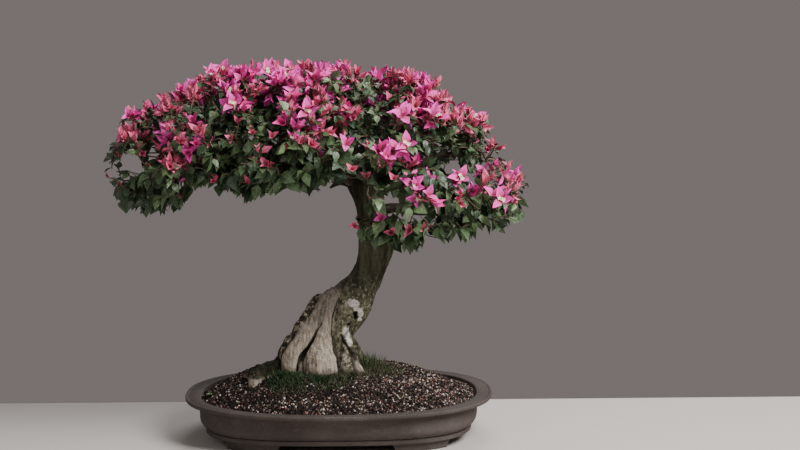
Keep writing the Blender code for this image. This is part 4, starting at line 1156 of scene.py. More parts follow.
def grow_mass(mass, chance):
    """Grows one mass: each shoot, nearest first, joins the handiest joint on what has grown.

    Returns the joints' places and parents, and each twig as a list of joints.
    """
    bough = bough_ways[MASSES[mass][0]]
    heading = unit(bough[-1][:3] - bough[-4][:3])
    root = bough[-1][:3] - heading * TWIG_ROOT
    ends = spread_ends(mass, chance)
    ends = ends[np.argsort(np.linalg.norm(ends - root, axis=1))]
    ahead = (ends - root) @ heading / np.linalg.norm(ends - root, axis=1) > AHEAD
    first = np.flatnonzero(ahead)[-1]
    order = [first, *(i for i in range(len(ends)) if i != first)]
    joints, parents, headings, length, bears = [root], [None], [heading], [0.0], [0]
    twigs = []
    for end in ends[order]:
        spots = np.array(joints)
        cost = np.linalg.norm(spots - end, axis=1) + DETOUR * np.array(length)
        cost[np.array(bears) >= MOST_TWIGS] = np.inf
        for n in np.argsort(cost)[:JOINTS_TRIED]:
            start = joints[n]
            course = unit(headings[n] * ALONG_OLD + unit(end - start) * FOR_END)
            points = arched_twig(start, course, end, chance)
            if clear_of_limbs(points, root) and (crown_place(points)[1] < 1).all():
                break
        else:
            continue
        bears[n] += 1
        bears[0] = MOST_TWIGS
        twig = [n]
        for before, point in zip(points, points[1:]):
            step = point - before
            joints.append(point)
            parents.append(twig[-1])
            headings.append(unit(step))
            length.append(length[twig[-1]] + np.linalg.norm(step))
            bears.append(1)
            twig.append(len(joints) - 1)
        bears[twig[-1]] = MOST_TWIGS
        twigs.append(twig)
    return np.array(joints), parents, twigs


twig_points, twig_edges, twig_girths = [], [], []
shoots = []  # mass, and the joints' places from the shoot's end back to the bough
for number, mass in enumerate(MASSES):
    joints, parents, twigs = grow_mass(mass, np.random.default_rng(number + TWIG_SEED))
    carried = np.zeros(len(joints), int)
    for twig in twigs:
        back = []
        n = twig[-1]
        while n is not None:
            carried[n] += 1
            back.append(joints[n])
            n = parents[n]
        shoots.append((mass, np.array(back)))
    thickest = bough_ways[MASSES[mass][0]][-1][3] * ROOT_SHARE
    for twig in twigs:
        girths = np.minimum(thickest, TWIG_RADIUS * carried[twig].astype(float) ** (1 / TWIG_SWELL))
        if twig is not twigs[0]:
            girths[0] = girths[1]
        first = len(twig_points)
        twig_points += [Vector(joint) for joint in joints[twig]]
        twig_edges += [(first + i, first + i + 1) for i in range(len(twig) - 1)]
        twig_girths += list(girths)

twig_bark = Finish("twig_finish", 0.85)
twig_patch = twig_bark.noise(120, 3)
twig_bark.coat("Base Color", twig_bark.mix(twig_patch, colour(58, 48, 38), colour(116, 102, 80)))
twig_bark.bump(twig_bark.noise(420, 3), 0.0005)

twig_tree = Tree("twig_tree", Sides=5, Finish=twig_bark.material)
lines = twig_tree.node("GeometryNodeMeshToCurve", inputs={"Mesh": twig_tree.given.outputs[0]})
girth = twig_tree.attribute("girth")
ring = twig_tree.node(
    "GeometryNodeCurvePrimitiveCircle", inputs={"Resolution": twig_tree.value("Sides"), "Radius": 1.0}
)
tubes = twig_tree.node("GeometryNodeCurveToMesh", inputs={
    "Curve": lines, "Profile Curve": ring, "Scale": girth, "Fill Caps": True,
})
twig_frame = bpy.data.meshes.new("twig_frame")
twig_frame.from_pydata(twig_points, twig_edges, [])
paint(twig_frame, "girth", twig_girths)
twigs = twig_tree.grow_from(twig_frame, "twigs", tubes)
stand_for(twigs, "bark", *(f"foliage_{mass}" for mass in MASSES))


# The leaves: oval, pointed, folded a little along the rib and glossy above. They stand round
# each shoot by turns on short stalks, held out to the light, and hang under the crown.

LEAF_SEED = 7
LEAF_LENGTHS = (0.020, 0.030)
LEAF_SHAPE = ((0.0, 0.06), (0.14, 0.66), (0.32, 1.0), (0.57, 0.80), (0.81, 0.32))
LEAF_WAVE = 0.025  # of its edge, in leaf lengths
LEAF_STALK = 0.22
LEAVES_FROM_END = (0.003, 0.070)  # the stretch of a shoot that is in leaf
LEAF_PITCH = 0.0146
YOUNG_LEAVES = ((0.003, 0.022), (0.55, 1.0))  # distance from the shoot's end, and size there
LOW_LEAVES = 1.08  # the leaves' share of their full size low in the crown
TOP_LEAVES = 0.66  # and at its top
SIZE_LEVELS = (-0.7, 0.7)  # the levels in the crown between which that size changes
FORWARD = 0.55  # how far a leaf leans along its shoot
OUTWARD = 0.35  # and out of the crown
HANG = (0.30, 0.55)  # how far it hangs anywhere, and how much more under the crown
HANG_SPREAD = (-0.2, 0.3)
FACE_OUT = 0.45  # how far its upper face looks out of the crown
FACE_UP = (0, 0, 0.9)  # and up
LEAF_TILT = 0.42  # spread of the way its upper face looks
LEAF_REACH = 1.05  # its tip stays within this share of the crown's outline
BARE_FOOT = 0.012  # the stretch of a shoot next to the bough that bears no leaves
HIDDEN_BY_RIM = -0.002  # a leaf's tip may hang this far below the lower rim
GOLDEN_TURN = math.radians(137.5)
LEAF_TINTS = {  # share of the shoots, colour of the blade
    "leaves_deep": (0.44, colour(59, 78, 54)),
    "leaves_green": (0.38, colour(86, 109, 74)),
    "leaves_light": (0.18, colour(104, 127, 88)),
}


def blade_mesh(name, shape, half_width, across, fold, droop, wave, stalk):
    """A thin blade of length 1 along X on its stalk, with its upper face to Z.

    The shape gives the width, as a share of the widest, at stations along the blade. The
    attribute "along" runs from 0 at its foot to 1 at its tip, and "off_rib" from 0 on the rib.
    """
    points, along, off_rib, faces = [], [], [], []
    columns = [2 * k / (across - 1) - 1 for k in range(across)]
    stations = [(-stalk, 0.05), *shape] if stalk else shape
    for t, width in stations:
        for s in columns:
            y = s * half_width * width
            lift = abs(y) * fold + wave * math.sin(9 * t + 2.2 * s) * abs(s)
            points.append(Vector((t + stalk, y, lift - droop * max(0.0, t) ** 2)))
            along.append(max(0.0, t))
            off_rib.append(abs(s))
    for row in range(len(stations) - 1):
        for k in range(across - 1):
            first = row * across + k
            faces.append((first, first + across, first + across + 1, first + 1))
    points.append(Vector((1 + stalk, 0, -droop)))
    along.append(1)
    off_rib.append(0)
    last = (len(stations) - 1) * across
    faces += [(last + k, len(points) - 1, last + k + 1) for k in range(across - 1)]
    mesh = bpy.data.meshes.new(name)
    mesh.from_pydata(points, [], faces)
    mesh.shade_smooth()
    paint(mesh, "along", along)
    paint(mesh, "off_rib", off_rib)
    return mesh


SIDEWAYS = 0.5  # how much a place's distance to the side counts in the way out of the crown


def outward_from_crown(place):
    """The way from the crown's middle out through a place, level or upward."""
    top, floor = (np.interp(place[0], *np.transpose(line)) for line in (CROWN_TOP, CROWN_FLOOR))
    middle = (top + floor) / 2
    out = np.array((place[0] * SIDEWAYS / CROWN_HALF_LENGTH ** 2, place[1] / CROWN_REACH ** 2,
                    (place[2] - middle) / ((top - floor) / 2) ** 2))
    return out / max(1e-9, np.linalg.norm(out))


def laid(place, along, up, size, variant=0):
    """A place for one small thing: where, turned how, how large and which variant."""
    x = unit(along)
    z = unit(up - x * (up @ x))
    turn = Matrix(np.transpose((x, np.cross(z, x), z)).tolist()).to_quaternion()
    return (*place, *turn, size, variant)


def any_way(chance, spread=1.0):
    """A random vector, normally spread."""
    return np.array([chance.gauss(0, spread) for _ in "xyz"])


def strew(name, finish, variants, rows):
    """Copies of small meshes, each laid where its row says, as one piece."""
    rows = np.array(rows)
    spots = bpy.data.meshes.new(name + "_spots")
    spots.from_pydata(rows[:, :3].tolist(), [], [])
    turn = spots.attributes.new("turn", "QUATERNION", "POINT")
    turn.data.foreach_set("value", rows[:, 3:7].astype(np.float32).ravel())
    paint(spots, "size", rows[:, 7])
    kind = spots.attributes.new("kind", "INT", "POINT")
    kind.data.foreach_set("value", rows[:, 8].astype(np.int32))
    tree = Tree("strew_" + name, Size=1.0, Finish=finish.material)
    shapes = tree.node("GeometryNodeJoinGeometry")
    for number, mesh in reversed(list(enumerate(variants))):  # the one joined last is picked as 0
        holder = bpy.data.objects.new(f"{name}_kind_{number}", mesh)
        whole = tree.node("GeometryNodeObjectInfo", inputs={"Object": holder}, output="Geometry")
        one = tree.node("GeometryNodeGeometryToInstance", inputs={0: whole})
        tree.group.links.new(one, shapes.node.inputs[0])
    copies = tree.node("GeometryNodeInstanceOnPoints", inputs={
        "Points": tree.given.outputs[0], "Instance": shapes, "Pick Instance": True,
        "Instance Index": tree.attribute("kind", "INT"),
        "Rotation": tree.attribute("turn", "QUATERNION"),
        "Scale": tree.product(tree.attribute("size"), tree.value("Size")),
    })
    return tree.grow_from(spots, name, copies)


leaf_kinds = [
    blade_mesh(f"leaf_{i}", LEAF_SHAPE, half, 3, fold, droop, LEAF_WAVE, LEAF_STALK)
    for i, (half, fold, droop) in enumerate((
        (0.34, 0.30, 0.10), (0.38, 0.20, 0.22), (0.28, 0.42, 0.16), (0.36, 0.12, 0.34),
    ))
]
leaf_chance = random.Random(LEAF_SEED)
leaf_rows = {name: [] for name in LEAF_TINTS}
tint_names = list(LEAF_TINTS)
tint_shares = [share for share, _ in LEAF_TINTS.values()]
for mass, back in shoots:
    outward = outward_from_crown(back[0])
    height_share = float(step_up(crown_place(back[:1])[0], *SIZE_LEVELS)[0])
    fullness = LOW_LEAVES + (TOP_LEAVES - LOW_LEAVES) * height_share
    tint_name = leaf_chance.choices(tint_names, tint_shares)[0]
    run = run_along(back)
    reach = min(LEAVES_FROM_END[1] * leaf_chance.uniform(0.7, 1.1), run[-1] - BARE_FOOT)
    distance, turn = LEAVES_FROM_END[0], leaf_chance.uniform(0, math.tau)
    while distance < reach:
        place = np.array([np.interp(distance, run, back[:, k]) for k in range(3)])
        i = min(int(np.searchsorted(run, distance)), len(run) - 1)
        ahead = unit(back[i - 1] - back[i])
        side = unit(np.cross(ahead, outward + 0.02))
        other = np.cross(ahead, side)
        around = side * math.cos(turn) + other * math.sin(turn)
        hang = HANG[0] + HANG[1] * max(0.0, -outward[2]) + leaf_chance.uniform(*HANG_SPREAD)
        along = unit(around + ahead * FORWARD + outward * OUTWARD + np.array((0, 0, -hang)))
        up = outward * FACE_OUT + np.array(FACE_UP) + any_way(leaf_chance, LEAF_TILT)
        size = leaf_chance.uniform(*LEAF_LENGTHS) * fullness * float(np.interp(distance, *YOUNG_LEAVES))
        reached = np.array([place, place + along * size * 0.6, place + along * size * 1.2])
        inside = (in_ovals(reached, OPENINGS) < 0).all() and crown_place(reached[2:])[1][0] < LEAF_REACH
        if inside and above_rim(reached[2:])[0] > HIDDEN_BY_RIM:
            leaf_rows[tint_name].append(laid(place, along, up, size, leaf_chance.randrange(4)))
        distance += LEAF_PITCH * leaf_chance.uniform(0.75, 1.25) * size / LEAF_LENGTHS[1]
        turn += GOLDEN_TURN
for name, (_, green) in LEAF_TINTS.items():
    leaf = Finish(name + "_finish", 0.36, Specular_IOR_Level=0.35, Coat_Weight=0.13, Coat_Roughness=0.18)
    rib = 1 - leaf.attribute("off_rib").between(0.0, 0.16)
    cloud = leaf.noise(90, 3)
    blade_tint = leaf.mix(cloud.between(0.35, 0.65), shade(green, 0.62), green)
    leaf.coat("Base Color", leaf.mix(rib * 0.55, blade_tint, shade(green, 1.55, 0.01)))
    leaf.coat("Roughness", 0.28 + 0.20 * cloud)
    leaf.bump(leaf.noise(520, 2) + leaf.noise(130, 2) * 4.5 + rib * 0.8, 0.0004)
    stand_for(strew(name, leaf, leaf_kinds, leaf_rows[name]), "foliage")


# The blossom: three papery bracts round a stalk, pointed and keeled, bright pink where open
# and coral while they unfold, on the ends of the shoots that reach the light.

BRACT_SHAPE = ((0.0, 0.16), (0.18, 0.74), (0.40, 1.0), (0.66, 0.72), (0.87, 0.27))
BRACT_LENGTH = 0.0235
BRACT_WAVE = 0.04  # of its edge, in bract lengths
BRACT_FOOT = 0.05
BRACT_STALK = 0.20  # length of the stalk that bears three of them
STALK_RADII = (0.022, 0.032)  # at its foot and at its top, a little way into the bracts
STALK_OVERLAP = 0.03
STALK_CORNERS = (0, 2.1, 4.2)  # angles
# patch of blossom on the crown's front, as seen: X, Z, half width and half height in
# millimetres, share coral
BLOSSOM_PATCHES = (
    (-132, 561, 46, 23, 0.12), (-194, 533, 29, 20, 0.35), (-33, 551, 59, 40, 0.15),
    (-132, 514, 29, 31, 0.35), (58, 567, 51, 20, 0.2), (143, 556, 40, 23, 0.3), (194, 527, 28, 31, 0.25),
    (140, 497, 26, 28, 0.4), (187, 493, 23, 17, 0.15), (224, 479, 20, 26, 0.6), (253, 491, 23, 20, 0.4),
    (-38, 493, 23, 26, 0.1), (1, 505, 23, 20, 0.3), (44, 493, 39, 23, 0.45), (4, 455, 26, 23, 0.35),
    (-86, 528, 31, 28, 0.35), (-219, 443, 39, 50, 0.3), (-177, 459, 20, 42, 0.2),
    (-295, 469, 20, 36, 0.15), (-269, 500, 12, 12, 0.3), (-232, 511, 15, 14, 0.4),
    (105, 432, 40, 23, 0.25), (151, 385, 28, 33, 0.15), (229, 384, 32, 33, 0.1), (290, 378, 43, 38, 0.2),
)
# single blossoms as seen on the front: X and Z in millimetres, tint
SINGLES = (
    (43, 443, "rose"), (109, 334, "magenta"), (165, 298, "coral"), (60, 310, "coral"),
    (-129, 462, "coral"), (-115, 477, "coral"), (-98, 462, "coral"), (-69, 465, "coral"),
    (-74, 415, "coral"), (-97, 393, "coral"), (-24, 446, "coral"), (111, 392, "coral"),
    (81, 410, "coral"), (149, 321, "coral"), (53, 406, "coral"), (122, 307, "coral"),
    (-126, 500, "magenta"), (114, 516, "coral"), (-204, 373, "coral"), (-306, 432, "russet"),
    (-314, 420, "russet"), (-331, 418, "russet"), (-303, 381, "russet"), (-267, 420, "russet"),
)
BLOSSOM_SEED = 11
PATCH_SHARE = 0.86  # blossoms reach a little beyond their shoots' ends, so the patches draw in
FRONT = 0.04  # shoots that end nearer than this are dealt their blossom by what shows in front
# least distance out of the crown's middle for a shoot in a patch, one between the patches, one
# at the back and one that bears a single blossom
SUNLIT = {"patch": 0.50, "between": 0.6, "back": 0.55, "single": 0.5}
STRAY_CHANCE = 0.02  # of blossom between the patches
STRAY_CORAL = 0.8
BACK_CORAL = 0.28
CORAL_RISE = (1.3, 0.27)  # a patch's share of coral times the first, plus the second
BEHIND = {"single": 0.15, "flowering": 0.10}  # how much depth counts as a gap in finding them
BUDS = 2  # small ones that open later, beside the full blossoms of a shoot
BUD_SIZES = (0.4, 0.75)
BLOSSOM_SIZES = (0.70, 1.08)
BLOSSOM_SPAN = 1.15  # from its foot to its farthest tip, in bract lengths
BLOSSOM_REACH = 1.04  # a blossom stays within this share of the crown's outline
SUNNY = 0.25  # above this level in the crown a shoot bears two blossoms more
BLOSSOMS = (3, 3, 4, 4)  # numbers on a shoot, one of which is dealt
OPEN_TINTS = ("magenta", "magenta", "deep", "rose")  # of which one is dealt to an open blossom
KINDS = {"late": (0, 0, 1, 1, 2), "open": (0, 1, 1, 2, 2, 3, 4), "bud": (0, 1)}  # and its kind
SINGLE_KINDS = {"coral": 2, "russet": 0, "rose": 3, "magenta": 3}
SINGLE_TURN = (0, -0.6, 0)  # a single blossom turns to the front
FACING = (0.45, 0.45)  # how far blossoms look along their shoot and out of the crown
BLOSSOM_UP = (0, 0, 0.85)  # and up
SPRAY = 0.72  # how far the blossoms of a shoot lean apart
BUD_SPRAY = 0.9
BLOSSOM_TINTS = {  # colour, and size beside a full blossom
    "magenta": (colour(255, 90, 200), 1.0),
    "deep": (colour(255, 84, 186), 1.0),
    "rose": (colour(255, 98, 208), 1.0),
    "coral": (colour(232, 116, 156), 0.80),
    "russet": (colour(132, 66, 66), 0.55),
}


def blossom_mesh(name, spread, twist, half_width, fold):
    """Three bracts round an upright stalk, with a bract's length as 1."""
    made = bmesh.new()
    for k in range(3):
        lean = math.radians(90 - spread * (0.88 + 0.12 * k))
        bract = blade_mesh(f"{name}_{k}", BRACT_SHAPE, half_width, 5, fold, -0.08 + 0.16 * k,
                           BRACT_WAVE, BRACT_FOOT)
        turn = Matrix.Rotation(math.tau * k / 3 + twist, 4, "Z") @ Matrix.Rotation(-lean, 4, "Y")
        bract.transform(Matrix.Translation((0, 0, BRACT_STALK)) @ turn)
        made.from_mesh(bract)
    rows = [[made.verts.new((r * math.cos(a), r * math.sin(a), z)) for a in STALK_CORNERS]
            for z, r in zip((0, BRACT_STALK + STALK_OVERLAP), STALK_RADII)]
    for a in range(3):
        b = (a + 1) % 3
        made.faces.new((rows[0][a], rows[0][b], rows[1][b], rows[1][a]))
    mesh = bpy.data.meshes.new(name)
    made.to_mesh(mesh)
    made.free()
    mesh.shade_smooth()
    return mesh


# kind: lean of the bracts from the stalk in degrees, twist, half width, fold
BLOSSOM_KINDS = (
    (12, 0.0, 0.21, 0.60), (20, 0.9, 0.24, 0.50), (30, 0.4, 0.26, 0.40), (40, 1.3, 0.28, 0.34),
    (52, 0.2, 0.30, 0.28),
)
blossom_kinds = [blossom_mesh(f"blossom_{i}", *kind) for i, kind in enumerate(BLOSSOM_KINDS)]

ends = np.array([back[0] for _, back in shoots])
level, out = crown_place(ends)
patch_of = in_ovals(ends, metres(
    (x, z, half_x * PATCH_SHARE, half_z * PATCH_SHARE) for x, z, half_x, half_z, _ in BLOSSOM_PATCHES
))
bloom_chance = random.Random(BLOSSOM_SEED)
blooming = {}  # shoot number: share coral
for i, (mass, back) in enumerate(shoots):
    if ends[i][1] < FRONT:
        if patch_of[i] >= 0 and out[i] > SUNLIT["patch"]:
            blooming[i] = BLOSSOM_PATCHES[patch_of[i]][4] * CORAL_RISE[0] + CORAL_RISE[1]
        elif mass != "left_tip" and out[i] > SUNLIT["between"] and bloom_chance.random() < STRAY_CHANCE:
            blooming[i] = STRAY_CORAL
    elif mass != "left_tip" and out[i] > SUNLIT["back"]:
        if bloom_chance.random() < MASSES[mass][3] * float(step_up(level[i], 0.0, 0.6)):
            blooming[i] = BACK_CORAL
singles = {}  # shoot number: tint, place along the shoot
joints = [(i, j) for i, (_, back) in enumerate(shoots) for j in range(min(6, len(back)))
          if ends[i][1] < 0 and out[i] > SUNLIT["single"] and i not in blooming]
joint_places = np.array([shoots[i][1][j] for i, j in joints])
for x, z, tint_name in SINGLES:
    i, j = joints[int(seen_gap(joint_places, x / 1000, z / 1000, BEHIND["single"]).argmin())]
    singles[i] = (tint_name, j)

blossoms = []  # foot, axis, side, size, tint, kind


def add_blossom(place, axis, tint_name, kind, share=1.0):
    """Sets a blossom on a shoot, or nothing where it would stand out of the crown."""
    size = share * BRACT_LENGTH * BLOSSOM_TINTS[tint_name][1] * bloom_chance.uniform(*BLOSSOM_SIZES)
    if crown_place((place + axis * size * BLOSSOM_SPAN)[None])[1][0] < BLOSSOM_REACH:
        side = np.cross(axis, any_way(bloom_chance))
        blossoms.append((place, axis, side, size, tint_name, kind))


for i, (mass, back) in enumerate(shoots):
    if i not in blooming and i not in singles:
        continue
    outward = outward_from_crown(back[0])
    ahead = unit(back[0] - back[2])
    axis = unit(ahead * FACING[0] + outward * FACING[1] + np.array(BLOSSOM_UP))
    if i in singles:
        tint_name, j = singles[i]
        axis = unit(axis + SINGLE_TURN)
        add_blossom(back[j], axis, tint_name, SINGLE_KINDS[tint_name])
        continue
    late = bloom_chance.random() < blooming[i]
    count = bloom_chance.choice(BLOSSOMS) + 2 * (level[i] > SUNNY)
    for k in range(count):
        j = min(k // 2, len(back) - 1)
        spray = unit(axis + SPRAY * any_way(bloom_chance) * (k > 0))
        if late:
            add_blossom(back[j], spray, "coral", bloom_chance.choice(KINDS["late"]))
        else:
            tint_name = bloom_chance.choice(OPEN_TINTS)
            add_blossom(back[j], spray, tint_name, bloom_chance.choice(KINDS["open"]))
    for _ in range(BUDS):
        j = bloom_chance.randrange(min(4, len(back)))
        spray = unit(axis + BUD_SPRAY * any_way(bloom_chance))
        kind = bloom_chance.choice(KINDS["bud"])
        add_blossom(back[j], spray, "coral", kind, bloom_chance.uniform(*BUD_SIZES))

# wide open blossoms with flowers, as seen on the front, X and Z; others flower here and there
FLOWERING = metres((
    (-297, 454), (-169, 557), (-143, 575), (-130, 542), (-130, 504), (-80, 560), (-56, 568), (-33, 567),
    (-41, 507), (-14, 518), (-246, 464), (196, 496), (136, 449), (144, 374), (227, 402), (284, 347),
    (255, 495),
))
FLOWERING_AXIS = (0.12, -0.70, 0.62)
FLOWERING_SIZE = 0.94 * BRACT_LENGTH
FLOWERING_CHANCE = 0.10
TAKEN = 9  # farther off than any blossom can be
feet = np.array([blossom[0] for blossom in blossoms])
is_full = np.array([blossom[4] in OPEN_TINTS for blossom in blossoms])
in_flower = {}
for x, z in FLOWERING:
    gap = seen_gap(feet, x, z, BEHIND["flowering"]) + np.where(is_full, 0, 1)
    gap[list(in_flower)] = TAKEN
    in_flower[int(gap.argmin())] = 2
for i, (place, axis, side, size, tint_name, kind) in enumerate(blossoms):
    if i in in_flower:
        axis = unit(np.array(FLOWERING_AXIS) + 0.2 * outward_from_crown(place))
        blossoms[i] = (place, axis, np.cross(axis, side), FLOWERING_SIZE, "magenta", 4)
    elif is_full[i] and kind >= 3 and bloom_chance.random() < FLOWERING_CHANCE:
        in_flower[i] = 1
for name, (pink, _) in BLOSSOM_TINTS.items():
    bract = Finish(name + "_finish", 0.62, Specular_IOR_Level=0.08)
    vein = 1 - bract.attribute("off_rib").between(0.0, 0.32)
    paper = bract.noise(140, 3)
    throat = 1 - (bract.attribute("along") + (paper - 0.5) * 0.5).between(0.08, 0.66)
    bract.coat("Base Color", bract.layers(
        bract.mix(paper.between(0.30, 0.70), shade(pink, 0.88), pink),
        (vein * 0.55, (164, 76, 88)),
        (throat * 0.72, (172, 94, 94)),
    ))
    bract.bump(bract.noise(380, 2) + vein * 0.5, 0.0004)
    rows = [laid(place, side, axis, size, kind)
            for place, axis, side, size, tint_name, kind in blossoms if tint_name == name]
    stand_for(strew("blossom_" + name, bract, blossom_kinds, rows), "foliage")


# The true flowers: small cream stars on a slender tube, one or two in the middle of an open
# blossom, opening a few at a time.

LOBES = 5
FLOWER_RADIUS = 0.0044
FLOWER_SIZES = (0.85, 1.1)
FLOWER_HEIGHT = 0.46  # above the blossom's foot, as a share of a bract's length
FLOWER_ASIDE = 0.15  # from the blossom's middle, so that two stand side by side


def flower_mesh():
    """A lobed star on its tube, with the star's radius as 1."""
    sides = 2 * LOBES
    rings = []
    # height, radius at the lobes and between them: the tube's top and foot, then the star
    for z, lobe, cleft in ((0.0, 0.20, 0.20), (-3.2, 0.16, 0.16), (0.15, 1.0, 0.55)):
        radii = [cleft if k % 2 else lobe for k in range(sides)]
        rings.append([
            Vector((r * math.cos(math.tau * k / sides), r * math.sin(math.tau * k / sides), z))
            for k, r in enumerate(radii)
        ])
    mesh = bpy.data.meshes.new("flower")
    points = rings[1] + rings[0] + rings[2] + [Vector((0, 0, -0.05))]
    star = 2 * sides
    lobes = [(star + k, star + (k + 1) % sides, star + sides) for k in range(sides)]
    mesh.from_pydata(points, [], ring_faces(2, sides) + lobes)
    return mesh


cream = Finish("flower_cream", 0.5)
cream.coat("Base Color", cream.tones(cream.noise(500, 2), 0.35, 0.65, (222, 214, 160), (244, 240, 222)))
flower_rows = []
for i, count in in_flower.items():
    place, axis, side, size, *_ = blossoms[i]
    for k in range(count):
        aside = unit(side) * (-1) ** k
        middle = place + axis * size * FLOWER_HEIGHT + aside * size * FLOWER_ASIDE
        flower_rows.append(laid(middle, aside, axis, FLOWER_RADIUS * bloom_chance.uniform(*FLOWER_SIZES)))
stand_for(strew("flowers", cream, [flower_mesh()], flower_rows), "foliage")


# The green on the grit: moss and seedling grass that have settled where the ground stays damp
# round the trunk's foot, a few weeds, and dry straw blown in. Each is a strewn blade or leaf.

# patch: X, Y, half sizes, blades, shortest and longest blade, lean, share of each tint
GREEN_PATCHES = (
    (-0.050, -0.072, 0.030, 0.042, 1500, 0.0060, 0.0125, 0.5, (0.74, 0.18, 0.08)),
    (-0.040, -0.106, 0.030, 0.024, 330, 0.0050, 0.0085, 0.8, (0.40, 0.20, 0.40)),
    (0.006, -0.088, 0.050, 0.034, 1500, 0.0050, 0.0090, 0.7, (0.62, 0.14, 0.24)),
    (0.052, -0.066, 0.042, 0.038, 1000, 0.0045, 0.0080, 0.8, (0.18, 0.12, 0.70)),
    (0.090, -0.026, 0.042, 0.054, 1500, 0.0045, 0.0090, 0.7, (0.18, 0.16, 0.66)),
    (0.076, -0.002, 0.034, 0.030, 230, 0.0120, 0.0300, 0.3, (0.20, 0.60, 0.20)),
    (-0.076, -0.030, 0.020, 0.026, 240, 0.0050, 0.0080, 0.8, (0.70, 0.10, 0.20)),
)
GREEN_TINTS = {
    "moss_dark": ((20, 38, 24), (40, 64, 38)),
    "grass_fine": ((54, 72, 42), (92, 108, 70)),
    "moss_dull": ((56, 53, 37), (94, 86, 65)),
}
TALL = 0.012  # longer blades are hair-thin
GREEN_SEED = 23
EVENLY = 0.5  # a random number to this power spreads places evenly over an oval
GATHERED = 0.75  # and to this one gathers them in its middle
BLADE_SIZES = (1.15, 0.5)  # in a patch's middle, and how much smaller at its edge
GREEN_LIFT = 0.0012  # of a blade's foot above the smooth mound
STRAWS = 150
STRAW_LENGTHS = (0.005, 0.013)
STRAW_SPREAD = (0.190, 0.145)
STRAW_LIFT = 0.0022
STRAW_TILT = 0.12
WEEDS = ((-0.172, -0.026), (-0.166, -0.034), (0.152, 0.058), (-0.118, -0.104))
WEED_LEAVES = 7
WEED_LEAF_LENGTHS = (0.004, 0.007)
WEED_LIFT = 0.001
WEED_RISE = (0.3, 1.0)  # how steeply a leaf stands up

thin_blades = [
    blade_mesh(f"thin_blade_{i}", ((0.0, 0.8), (0.40, 1.0), (0.76, 0.55)), half, 2, 0, droop, 0, 0)
    for i, (half, droop) in enumerate(((0.050, 0.10), (0.060, 0.30), (0.045, 0.50), (0.016, 0.20)))
]
growth = random.Random(GREEN_SEED)
UP = np.array((0, 0, 1.0))


def on_ground(x, y, lift):
    return np.array((x, y, ground_at(x, y) + lift))


green_rows = {name: [] for name in GREEN_TINTS}
for x, y, half_x, half_y, blades, short, long, lean, shares in GREEN_PATCHES:
    for _ in range(blades):
        turn, far = growth.uniform(0, math.tau), growth.random() ** GATHERED
        place = on_ground(x + half_x * far * math.cos(turn), y + half_y * far * math.sin(turn), GREEN_LIFT)
        along = unit(np.array((growth.gauss(0, lean), growth.gauss(0, lean), 1.0)))
        aside = any_way(growth)
        tint_name = growth.choices(list(GREEN_TINTS), shares)[0]
        size = growth.uniform(short, long) * (BLADE_SIZES[0] - BLADE_SIZES[1] * far)
        kind = 3 if size > TALL else growth.randrange(3)
        green_rows[tint_name].append(laid(place, along, aside, size, kind))
for name, (dark, light) in GREEN_TINTS.items():
    green = Finish(name + "_finish", 0.7, Specular_IOR_Level=0.2)
    green.coat("Base Color", green.tones(green.noise(120, 3), 0.35, 0.65, dark, light))
    stand_for(strew(name, green, thin_blades, green_rows[name]), "foliage")

straw = Finish("straw_finish", 0.8)
straw.coat("Base Color", straw.mix(straw.noise(200, 2), colour(98, 86, 63), colour(152, 140, 115)))
straw_rows = []
for _ in range(STRAWS):
    turn, far = growth.uniform(0, math.tau), growth.random() ** EVENLY
    spot_x = MOUND_X + STRAW_SPREAD[0] * far * math.cos(turn)
    place = on_ground(spot_x, STRAW_SPREAD[1] * far * math.sin(turn), STRAW_LIFT)
    along = unit(np.array((growth.gauss(0, 1), growth.gauss(0, 1), growth.gauss(0, STRAW_TILT))))
    straw_rows.append(laid(place, along, UP, growth.uniform(*STRAW_LENGTHS)))
stand_for(strew("straw", straw, thin_blades, straw_rows), "soil_grit")

weed = Finish("weed_finish", 0.5)
weed.coat("Base Color", weed.mix(weed.noise(90, 2), colour(58, 88, 36), colour(96, 128, 60)))
weed_rows = []
for x, y in WEEDS:
    for k in range(WEED_LEAVES):
        turn = GOLDEN_TURN * k
        out_way = np.array((math.cos(turn), math.sin(turn), growth.uniform(*WEED_RISE)))
        size = growth.uniform(*WEED_LEAF_LENGTHS)
        weed_rows.append(laid(on_ground(x, y, WEED_LIFT), out_way, UP, size, k % 4))
stand_for(strew("weeds", weed, leaf_kinds, weed_rows), "foliage")


# The stage: a pale table whose back edge shows behind the pot, a grey surround, a large soft
# light from the right and above, weaker ones from the left and from behind, and the camera.

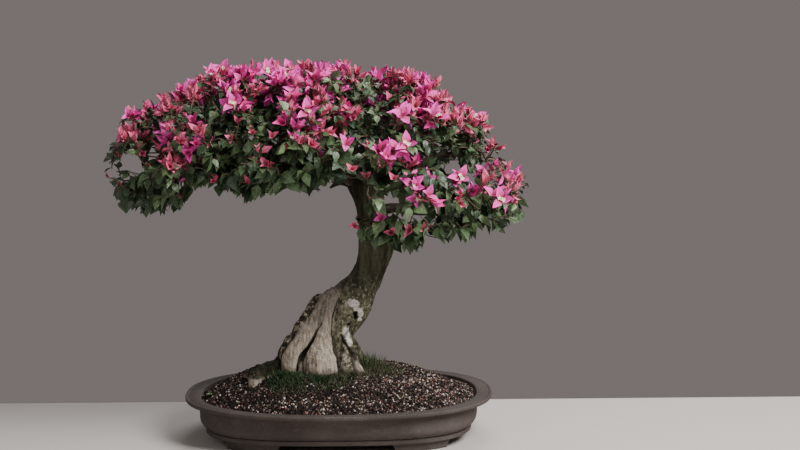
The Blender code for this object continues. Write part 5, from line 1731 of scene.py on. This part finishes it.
TABLE_BACK = 0.218  # from the plant's middle to the table's back edge
TABLE_SIZE = 5.0
TABLE_FRONT = TABLE_BACK - TABLE_SIZE
GREY = colour(120, 113, 111)

table_top = Finish("table_finish", 0.6)
table_top.coat("Base Color", colour(194, 188, 183))
table = new_piece("table", [
    (-TABLE_SIZE, TABLE_FRONT, 0), (TABLE_SIZE, TABLE_FRONT, 0),
    (TABLE_SIZE, TABLE_BACK, 0), (-TABLE_SIZE, TABLE_BACK, 0),
], [(0, 1, 2, 3)], table_top.material, smooth=False)

surround = bpy.data.worlds.new("surround")
surround.use_nodes = True
backdrop = surround.node_tree.nodes["Background"]
backdrop.inputs["Color"].default_value = GREY
backdrop.inputs["Strength"].default_value = 1.0
bpy.context.scene.world = surround

CROWN_MIDDLE = (0.0, 0.0, 0.40)  # the lights face it


def soft_light(name, place, size, power, tint=(1, 1, 1)):
    """A square area light that faces the crown's middle."""
    lamp = bpy.data.lights.new(name, "AREA")
    lamp.size = size
    lamp.energy = power
    lamp.color = tint
    holder = bpy.data.objects.new(name, lamp)
    holder.location = place
    holder.rotation_euler = (Vector(CROWN_MIDDLE) - Vector(place)).to_track_quat("-Z", "Y").to_euler()
    bpy.context.scene.collection.objects.link(holder)


soft_light("light_right", (1.5, -1.0, 1.9), 1.3, 110, (1.0, 0.985, 0.96))
soft_light("light_left", (-1.5, -1.8, 1.2), 1.2, 9)
soft_light("light_back", (0.3, 1.6, 1.9), 1.4, 22)

CAMERA_PITCH = 7.24  # degrees below level
CAMERA_ROLL = -0.5
FOCAL_PIXELS = 1942  # focal length in pixels of the photograph, which is 800 wide
PHOTO_WIDTH = 800
SENSOR = 36.0

eye = bpy.data.cameras.new("camera")
eye.sensor_width = SENSOR
eye.lens = SENSOR * FOCAL_PIXELS / PHOTO_WIDTH
camera = bpy.data.objects.new("camera", eye)
camera.location = VIEW_FROM
turned = Matrix.Rotation(math.radians(90 - CAMERA_PITCH), 3, "X")
camera.rotation_euler = (turned @ Matrix.Rotation(math.radians(CAMERA_ROLL), 3, "Z")).to_euler()
bpy.context.scene.collection.objects.link(camera)
bpy.context.scene.camera = camera
